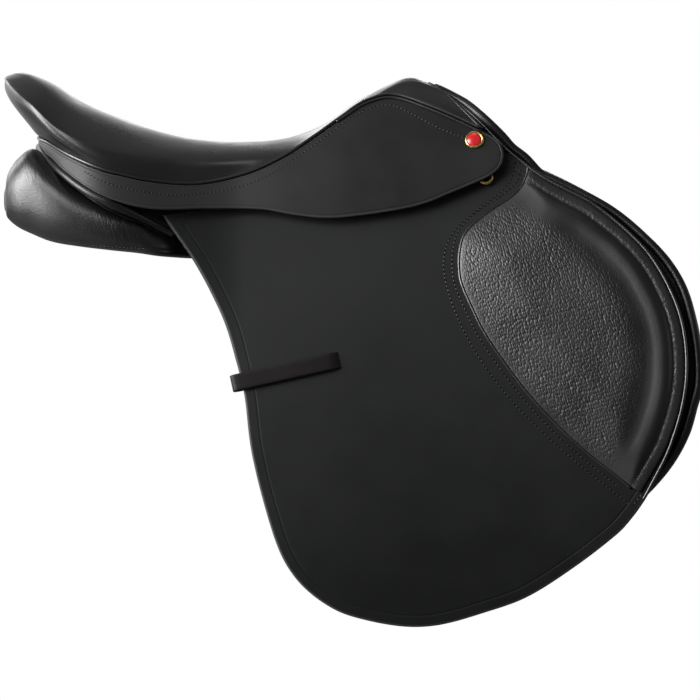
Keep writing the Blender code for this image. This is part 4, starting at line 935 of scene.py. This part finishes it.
for label, sign in SIDES:
    skirt = sheet("skirt sheet " + label, skirt_cut, 0.0, SKIRT_THICK, SKIRT_MAT, sign, None,
                  ["skirt_" + label, "skirt_top_" + label], values={"painted_light": painted_skirt_sheen})
    bend(skirt, SKIRT_FOLD, 0)
    flap = sheet("flap sheet " + label, flap_cut, FLAP_DEPTH, FLAP_THICK, FLAP_MAT, sign, None,
                 ["flap_" + label, "flap_top_" + label], values={"painted_light": painted_flap_shade})
    bend(flap, FLAP_FOLD, FLAP_DEPTH)
    pad = stuffed("knee pad cover " + label, pad_cut, pad_depth(), PAD_DEPTH + PAD_SINK, PAD_MAT, sign,
                  None, ["knee_pad_" + label], pad_values)
    bend(pad, FLAP_FOLD, FLAP_DEPTH)
    sheet("sweat flap sheet " + label, sweat_cut, SWEAT_DEPTH, SWEAT_THICK, LINING_MAT, sign, "saddle",
          ["sweat_flap_" + label])
    block = stuffed("front block pad " + label, block_cut, block_depth, BLOCK_EDGE + PAD_SINK, LINING_MAT,
                    sign, "saddle", ["front_block_" + label])
    sheet("buckle guard sheet " + label, guard_cut, GUARD_DEPTH, GUARD_THICK, LINING_MAT, sign, "saddle",
          ["buckle_guard_" + label])
    for place, cut in billet_cuts.items():
        sheet("billet %s strap %s" % (place, label), cut, BILLET_DEPTH, BILLET_THICK, STRAP_MAT, sign,
              "billet_%s_%s" % (place, label), ["billet_%s_%s" % (place, label)])


# Welts, rolls and bindings

REAR_ROLL = [(-269.9, 112), (-250, 112), *wz([(-199, 110), (-191, 101), (-181, 93.5), (-173, 88), (-157, 77),
             (-146, 70.5), (-134, 64.5), (-120, 58.5), (-107, 54.5), (-91, 49.5), (-78, 44.5), (-64, 38)])]
FRONT_ROLL = [(181, 0, 168.5), (186, 12, 166.3), (196.5, 25, 161), (209.5, 38.5, 153.5), (220.5, 50, 144.5),
              (231, 55.5, 135), (242.6, 58.5, 123.5), (252.3, 61.5, 112.5), (264.9, 66, 102.6)]
FRONT_PIPING = [(174, 0, 173.5), (178.5, 13, 171), (189, 27, 163.5), (204.5, 41, 152), (219, 53, 139.5)]
WELT_RADIUS, BEAD_RADIUS, EDGE_CORD_RADIUS = 1.5, 1.35, 1.25
BINDING_RADIUS, REAR_ROLL_RADIUS, FRONT_ROLL_RADIUS = 2.0, 3.7, 4.5
# depths of their middles under the skirt's surface
WELT_SUNK, EDGE_CORD_SUNK, PIPING_SUNK, BEAD_SUNK, FRONT_ROLL_SUNK = -0.2, -0.5, 9.6, 9.7, 20.3

welt_half = welt(np.linspace(0.0, 13.95, 260), WELT_SUNK)
welt_half[0, 1] = 0.0
tube("seat welt cord", both_sides(welt_half), WELT_RADIUS, WELT_MAT,
     stands_for=["seat_welt_left", "seat_welt_right"])
rear_w, rear_z = smooth_line(REAR_ROLL, 200).T
rear_roll = resample(side(rear_w, rear_z, 1.0 + 17 * ease((rear_w + 130) / 62)), 2.0)
rear_roll[0, 1] = 0.0
tube("rear panel roll", both_sides(rear_roll), REAR_ROLL_RADIUS, ROLL_MAT,
     stands_for=["rear_panel_welt"], sides=18)
binding = seat_at(ROWS, np.linspace(0, 0.98, 28), 2.2) + [2.2, 0, -0.6]
tube("pommel edge binding", both_sides(resample(binding, 2.0)), BINDING_RADIUS, WELT_MAT,
     stands_for=["pommel_binding"], sides=14)

roll_low = inset(ring_spline(SWEAT_RIM[13:29], 2.5, closed=False), FRONT_ROLL_RADIUS - 0.1)[::-1]
roll_low = roll_low[(roll_low[:, 1] < 95) | (roll_low[:, 0] > 275)]
front_roll = np.vstack([FRONT_ROLL, side(*roll_low.T, FRONT_ROLL_SUNK)[::6]])
front_roll = resample(smooth_line(front_roll, 400), 2.0)
front_roll[0, 1] = 0.0
tube("front roll", both_sides(front_roll), FRONT_ROLL_RADIUS, ROLL_MAT,
     stands_for=["panel_front_roll"], sides=16)

# the skirt's own cord leaves the seat welt and runs beside it to the pommel
DOUBLE = np.linspace(9.8, 14.0, 80)
double_line = inset(welt_wz(DOUBLE), -(1.5 + 1.9 * np.clip((DOUBLE - 9.8) / 2.2, 0, 1) ** 0.8)[:, None])
piping_low = inset(ring_spline([p[:2] for p in FLAP_RIM[20:33]], 2.0, closed=False), 1.2)[::-1]
piping_low = side(*piping_low.T, PIPING_SUNK)
piping_path = np.vstack([FRONT_PIPING, piping_low[::5], piping_low[-1:]])
piping_path = resample(smooth_line(piping_path, 400), 1.8)
FACING = [(-269.9, 120, 1), (-240, 119), *wz([(-194, 114), (-173, 101), (-149, 88), (-126, 78), (-97, 70)]),
          (-50, 68, 1), (-50, 42, 1), (-71, 42),
          *wz([(-91, 46), (-107, 50), (-134, 60), (-157, 72), (-181, 88), (-193, 98)]),
          (-240, 103), (-269.9, 103, 1)]
facing_cut = pattern(FACING, 6.0)
facing_depth = 4.6 + 11.5 * np.clip((facing_cut[0][:, 0] + 140) / 62, 0, 1)
for label, sign in SIDES:
    tube("skirt edge cord " + label, side(*double_line.T, EDGE_CORD_SUNK), EDGE_CORD_RADIUS, WELT_MAT,
         sign, sides=10)
    piping = tube("flap piping " + label, piping_path, WELT_RADIUS, WELT_MAT, sign, None, sides=8)
    bend(piping, FLAP_FOLD, FLAP_DEPTH)
    cord = tube("pad border bead " + label, side(*bead.T, BEAD_SUNK), BEAD_RADIUS, WELT_MAT, sign, None,
                sides=8)
    bend(cord, FLAP_FOLD, FLAP_DEPTH)
    sheet("rear facing " + label, facing_cut, facing_depth, 1.8, LINING_MAT, sign, "saddle")


# Straps and fittings

def strap_along(name, path, out, width, thick, material, sign, body, stands_for):
    """A flat strap with rounded edges, swept along a path with outward directions."""
    ahead = unit(np.gradient(path, axis=0))
    out = unit(out - (out * ahead).sum(1, keepdims=True) * ahead)
    across = np.cross(ahead, out)
    r = thick / 2
    corners = [(cx + r * math.cos(a), r * math.sin(a))
               for cx, start in ((width / 2 - r, -90), (r - width / 2, 90))
               for a in np.radians(start + 30 * np.arange(7))]
    profile = []
    for (a, b), (c, d) in zip(corners, corners[1:] + corners[:1]):
        steps = 6 if abs(c - a) > 3 else 1
        profile += [(a + (c - a) * k / steps, b + (d - b) * k / steps) for k in range(steps)]
    n, m = len(path), len(profile)
    u, v = np.array(profile).T[:, None, :, None]
    verts = (path[:, None] + across[:, None] * u + out[:, None] * v).reshape(-1, 3) * [1, sign, 1]
    faces = [*lattice(n, m), np.arange(m), (n - 1) * m + np.arange(m)[::-1]]
    return piece(name, verts, faces, material, body, stands_for)


NAIL_TURNS = 40


def nail_part(name, profile, closed, material, spot, axes, sign, stands_for):
    """A part of the round nail, turned about its middle."""
    out, u, v = axes
    verts = [spot + out * h + (u * math.cos(a) + v * math.sin(a)) * r
             for a in angles(NAIL_TURNS) for r, h in profile]
    faces = lattice(NAIL_TURNS, len(profile), True, closed)
    return piece(name, np.array(verts) * [1, sign, 1], faces, material, "saddle", stands_for)


STRAP_START, STRAP_END = np.array([-9.5, -104.0]), np.array([88.0, -82.5])
STRAP_WIDTH, STRAP_THICK = 16.0, 2.2
strap_way = unit(STRAP_END - STRAP_START)
# places along the strap (from the flap's rear edge) and the depth of its middle
STRAP_RUN = [(22, 15.8), (8, 15.9), (0.5, 15.6), (-1.8, 13.9), (-2.3, 12.0), (-1.2, 9.9), (2, 8.6),
             (12, 8.1), (40, 7.9), (70, 7.8), (88, 8.2), (94, 9.0), (97.5, 10.3), (99.5, 12.2)]
run = smooth_line(STRAP_RUN, 90)
strap_flat = STRAP_START + strap_way * run[:, :1]
strap_path = side(*strap_flat.T, run[:, 1])
turn = unit(np.gradient(run, axis=0))
normal = side(*strap_flat.T, run[:, 1] - 1) - strap_path
lengthways = side(*(strap_flat + strap_way).T, run[:, 1]) - strap_path
strap_out = normal * turn[:, :1] + lengthways * turn[:, 1:]

DEE_AT, DEE_REACH, DEE_RADIUS, DEE_DEPTH = (226.2, 87.3), 5.2, 2.1, 7.4
dee_ring = [side(DEE_AT[0] + DEE_REACH * math.cos(a), DEE_AT[1] + DEE_REACH * math.sin(a), DEE_DEPTH)
            for a in angles(48)]

NAIL_AT = (216.0, 120.0)
NAIL_RIM = [(6.2, 0.1), (8.6, 0.1), (9.0, 0.5), (8.9, 1.2), (8.3, 1.7), (7.6, 1.75), (7.0, 1.5),
            (6.6, 1.2), (6.2, 0.9)]
NAIL_DOME = [(0, 0.6), (6.9, 0.6), (7.1, 1.0), (6.9, 1.4), (6.0, 1.85), (4.5, 2.25), (2.6, 2.55),
             (1.0, 2.66), (0, 2.68)]
nail_spot = side(*NAIL_AT)
nail_out = unit(side(*NAIL_AT, -1.0) - nail_spot)
nail_u = unit(np.cross(nail_out, [0, 0, 1]))
nail_axes = (nail_out, nail_u, np.cross(nail_u, nail_out))
for label, sign in SIDES:
    strap_along("keeper strap band " + label, strap_path, strap_out, STRAP_WIDTH, STRAP_THICK, STRAP_MAT,
                sign, "flap_" + label, ["keeper_strap_" + label])
    tube("front dee ring " + label, dee_ring, DEE_RADIUS, BRASS_MAT, sign, "dee_" + label,
         ["front_dee_" + label], sides=14, closed=True)
    nail_part("nail rim " + label, NAIL_RIM, True, BRASS_MAT, nail_spot, nail_axes, sign, ())
    nail_part("nail dome " + label, NAIL_DOME, False, ENAMEL_MAT, nail_spot, nail_axes, sign,
              ["skirt_stud_" + label])


# Panels

PANEL_REAR = [(-231, 73, 50, 60, 82), (-228.5, 86, 41, 47, 91), (-219, 98, 31, 38, 101.5),
              (-205, 105, 23, 34, 110), (-185, 92, 15, 32, 119), (-160, 75, 11, 32, 126),
              (-130, 60.5, 8, 32, 130), (-105, 51, 6, 32, 127)]
PANEL_FRONT = [(-84, 38, 4, 32, 17), (-62, 38, 2, 32, 25.8), (-42, 42, 1, 32, 26), (-12, 50, 0, 32, 26),
               (25, 56, 0, 32, 26), (65, 58, 0, 32, 26), (105, 62, -6, 30, 26), (140, 66, -14, 29, 30),
               (160, 70, -20, 29, 38), (180, 74, -26, 29, 38), (205, 82, -32, 30, 38),
               (226, 86, -34, 34, 38), (240, 84, -20, 46, 38)]
PANEL_SEAM = [(-230, 44), (-222, 33.5), (-210, 29), (-190, 26), (-159, 22.5), (-129, 20.5), (-95, 18.6)]


def level_y(x, z, depth):
    """Half width of a layer at a height, measured level."""
    w = wrap_of(x)
    y = side_raw(w, z)[1]
    up = side_raw(w, z + 1.0)[1]
    return y - depth * math.hypot(1.0, up - y)


def panel_corners(x, top, under, inner, low, high):
    """The four corners of one of a panel's sections: outer low and high, inner low and high."""
    high = max(high, inner + 8)
    return [[x, low, under], [x, high, top], [x, inner + 4, under + 0.3 * (low - inner)],
            [x, inner, top + 0.14 * (high - inner)]]


sections = [panel_corners(x, top, under, inner, outer - 3, outer)
            for x, top, under, inner, outer in PANEL_REAR]
sections += [panel_corners(x, top, under, inner, level_y(x, under, depth), level_y(x, top, depth))
             for x, top, under, inner, depth in PANEL_FRONT]


PANEL_SECTIONS, PANEL_AROUND, PANEL_POWER, PANEL_CAP = 380, 72, 0.78, 1.6


def panel(sign, label):
    """A stuffed panel as a smooth tube of soft-cornered sections."""
    m = PANEL_AROUND
    c = smooth_line(np.reshape(sections, (len(sections), 12)), PANEL_SECTIONS).reshape(-1, 4, 1, 3)
    angle = angles(m) + math.pi / m
    a, b = (0.5 + 0.5 * np.sign(f) * np.abs(f) ** PANEL_POWER for f in (np.cos(angle), np.sin(angle)))
    a, b = a[:, None], b[:, None]
    rings = (c[:, 2] * (1 - a) + c[:, 0] * a) * (1 - b) + (c[:, 3] * (1 - a) + c[:, 1] * a) * b
    caps, tips = [], []
    for ring, way in ((rings[0], -1), (rings[-1], 1)):
        middle = ring.mean(0)
        caps.append([middle + (ring - middle) * math.cos(p) + [way * PANEL_CAP * math.sin(p), 0, 0]
                     for p in np.linspace(0, math.pi / 2, 7)[1:-1]])
        tips.append(middle + [way * PANEL_CAP, 0, 0])
    stack = caps[0][::-1] + list(rings) + caps[1]
    n = len(stack)
    verts = np.vstack(stack + tips)
    faces = list(lattice(n, m))
    for k in range(m):
        faces.append((k, (k + 1) % m, n * m))
        faces.append(((n - 1) * m + (k + 1) % m, (n - 1) * m + k, n * m + 1))
    x, z = verts[:, 0], verts[:, 2]
    seam = z - along([(-232, 46)] + PANEL_SEAM[1:] + [(-80, 18), (0, 14), (150, -6), (240, -10)], x)
    outer_side = verts[:, 1] > 60
    wrinkle = outer_side * (bell(x, -114, 25) * np.clip((z - 14) / 18, 0, 1)
                            + 0.5 * bell(x, -205, 16) * np.clip((z - 72) / 12, 0, 1))
    thing = piece("panel cushion " + label, verts * [1, sign, 1], faces, PANEL_MAT, "saddle",
                  ["panel_" + label], {"seam": np.where(outer_side, seam, 50), "wrinkle": wrinkle})
    return thing


SEAM_STITCH = ([(0.15, -0.32, -0.1), (0.15, 0.32, -0.1), (0.75, 0.32, -0.1), (0.75, -0.32, -0.1),
                (0.28, 0, 0.35), (0.62, 0, 0.35)],
               [(0, 1, 4), (1, 2, 5, 4), (2, 3, 5), (3, 0, 4, 5), (0, 3, 2, 1)])


def seam_stitches(name, cushion, sign):
    """Small stitches sewn along the panel's lower seam, found on the cushion's own surface."""
    mesh = cushion.data
    skin = BVHTree.FromPolygons([v.co for v in mesh.vertices], [p.vertices for p in mesh.polygons])
    marks = []
    for x, z in resample(ring_spline(PANEL_SEAM, 2.0, closed=False), 3.6):
        spot, normal, _, _ = skin.ray_cast(Vector((x * MM, 0.3 * sign, z * MM)), Vector((0, -sign, 0)))
        if spot:
            marks.append((np.array(spot) / MM, np.array(normal)))
    verts, faces = [], []
    for (here, out), (there, _) in zip(marks, marks[1:]):
        step = there - here
        stamp(verts, faces, here, (step, unit(np.cross(step, out)), out), SEAM_STITCH, 1)
    return piece(name, verts, faces, THREAD_MAT, "saddle")


for label, sign in SIDES:
    seam_stitches("panel seam stitches " + label, panel(sign, label), sign)


# Stitches

SKIRT_STITCH = [(-152, 91), (-139, 83.5), (-111, 75), (-82, 70), (-60, 68.5), (-16, 74), (14, 84),
                (44, 102), (74, 123), (96, 140), (119, 151), (130, 153), (140, 152.5), (154, 146),
                (180, 132.5), (206, 121.5)]
skirt_row = ring_spline(wz(SKIRT_STITCH), 2.0, closed=False)
inner_row = inset(bead, -6.3)[3:-3]
outer_row = ring_spline([(254, 102), (251, 90), (246.5, 81), (237, 72), (224, 62.5), (204, 46.5), (192, 32)]
                        + BAND_OUTER[4:-1] + [(357, -216)], 2.0, closed=False)
BAND_PITCH, BAND_SIZE = 4.2, 0.62
for label, sign in SIDES:
    stitches("skirt stitches " + label, skirt_row, 0.0, sign)
    for name, line, body in (
            ("band outer stitches", outer_row, None),
            ("band inner stitches", inner_row, None),
            ("band top stitches", np.array([(254.5, 103), (265, 100.5)]), "saddle"),
            ("band end stitches", np.array([(360, -216), (368, -205)]), "flap_" + label)):
        made = stitches(name + " " + label, line, FLAP_DEPTH, sign, body, BAND_PITCH, BAND_SIZE,
                        BAND_THREAD_MAT)
        if body is None:
            bend(made, FLAP_FOLD, FLAP_DEPTH)


# Stage and light

ROOM_LEVEL, FILL_LEVEL = 0.17, 0.20
world = bpy.context.scene.world or bpy.data.worlds.new("studio")
bpy.context.scene.world = world
world.use_nodes = True
tree = world.node_tree
tree.nodes.clear()
rays = node(tree, "LightPath").outputs
towards = node(tree, "SeparateXYZ", {0: node(tree, "TexCoord").outputs["Generated"]}).outputs
backdrop = calc(tree, "MULTIPLY", span_node(tree, towards["Z"], 0.02, 0.30, 1.0, 0.0),
                span_node(tree, towards["Y"], -0.1, 0.25))
mirrored = calc(tree, "MAXIMUM", rays["Is Glossy Ray"], rays["Is Transmission Ray"])
reflected = calc(tree, "MULTIPLY_ADD", backdrop, 1.0 - ROOM_LEVEL, ROOM_LEVEL)
level = calc(tree, "MULTIPLY", mirrored, calc(tree, "SUBTRACT", reflected, FILL_LEVEL))
level = calc(tree, "MAXIMUM", calc(tree, "ADD", level, FILL_LEVEL), rays["Is Camera Ray"])
studio = node(tree, "Background", {"Color": (1, 1, 1, 1), "Strength": level})
node(tree, "OutputWorld", {"Surface": studio.outputs[0]})

FLOOR_HALF, FLOOR_HEIGHT = 4, -0.62
floor_mesh = bpy.data.meshes.new("floor")
floor_mesh.from_pydata([(x * FLOOR_HALF, y * FLOOR_HALF, FLOOR_HEIGHT)
                        for x, y in ((-1, -1), (1, -1), (1, 1), (-1, 1))], [], [(0, 1, 2, 3)])
floor = bpy.data.objects.new("floor", floor_mesh)
bpy.context.scene.collection.objects.link(floor)
floor_finish = plain("floor", (0.15, 0.15, 0.15), 0.9, swing=0.01, depth=0.0)
floor_mesh.materials.append(floor_finish)
# to the camera the floor is pale near the saddle and white far away, and to other rays dull grey
tree = floor_finish.node_tree
shader = tree.nodes["Principled BSDF"]
away = node(tree, "VectorMath", {0: object_place(tree), 1: (0.0974, 0.0, FLOOR_HEIGHT)},
            operation="DISTANCE")
to_camera = node(tree, "LightPath").outputs["Is Camera Ray"]
fade = calc(tree, "MULTIPLY", span_node(tree, away.outputs["Value"], 0.45, 1.1), to_camera)
dull = shader.inputs["Base Color"].links[0].from_socket
feed(tree, shader, {"Base Color": mix(tree, to_camera, dull, (0.80, 0.80, 0.80, 1))})
blend_in = node(tree, "MixShader", {"Fac": fade, 1: shader.outputs[0], 2: node(tree, "Emission").outputs[0]})
feed(tree, tree.nodes["Material Output"], {"Surface": blend_in.outputs[0]})


def aim(thing, place, target):
    """Put a lamp or the camera at a place, looking at a target, into the scene."""
    thing.location = place
    thing.rotation_euler = (Vector(target) - Vector(place)).to_track_quat("-Z", "Y").to_euler()
    bpy.context.scene.collection.objects.link(thing)


def lamp(name, place, size, level):
    """A rectangular lamp with a brightness of its face."""
    light = bpy.data.lights.new(name, "AREA")
    light.shape = "RECTANGLE"
    light.size, light.size_y = size
    light.energy = math.pi * size[0] * size[1] * level
    thing = bpy.data.objects.new(name, light)
    aim(thing, place, (0.05, 0, -0.05))


for name, place, size, level in (
        ("rear key", (-1.93, -0.78, 0.68), (1.4, 1.7), 19.0),
        ("rear glow", (-2.3, 0.1, 0.45), (1.5, 0.8), 5.0),
        ("rear edge", (-1.6, 1.7, 0.9), (1.2, 0.9), 4.0),
        ("front edge", (2.3, 0.0, 0.5), (1.8, 0.9), 1.0),
        ("overhead", (0.1, 0.0, 2.2), (0.8, 0.5), 2.0),
        ("near fill", (-0.75, -1.0, 0.95), (0.7, 0.7), 8.5),
        ("far fill", (0.2, 2.6, 0.7), (2.2, 0.7), 2.0)):
    lamp(name, place, size, level)

CAMERA_TARGET = Vector((0.0974, 0.0, -0.0857))
CAMERA_RISE = math.radians(4.0)
CAMERA_REACH = 4.0
CAMERA_LENS = 211.2
lens = bpy.data.cameras.new("camera")
lens.lens = CAMERA_LENS
lens.sensor_width = 36.0
camera = bpy.data.objects.new("camera", lens)
camera_way = Vector((0, -math.cos(CAMERA_RISE), math.sin(CAMERA_RISE)))
aim(camera, CAMERA_TARGET + camera_way * CAMERA_REACH, CAMERA_TARGET)
bpy.context.scene.camera = camera

bpy.context.scene.view_settings.view_transform = "Standard"
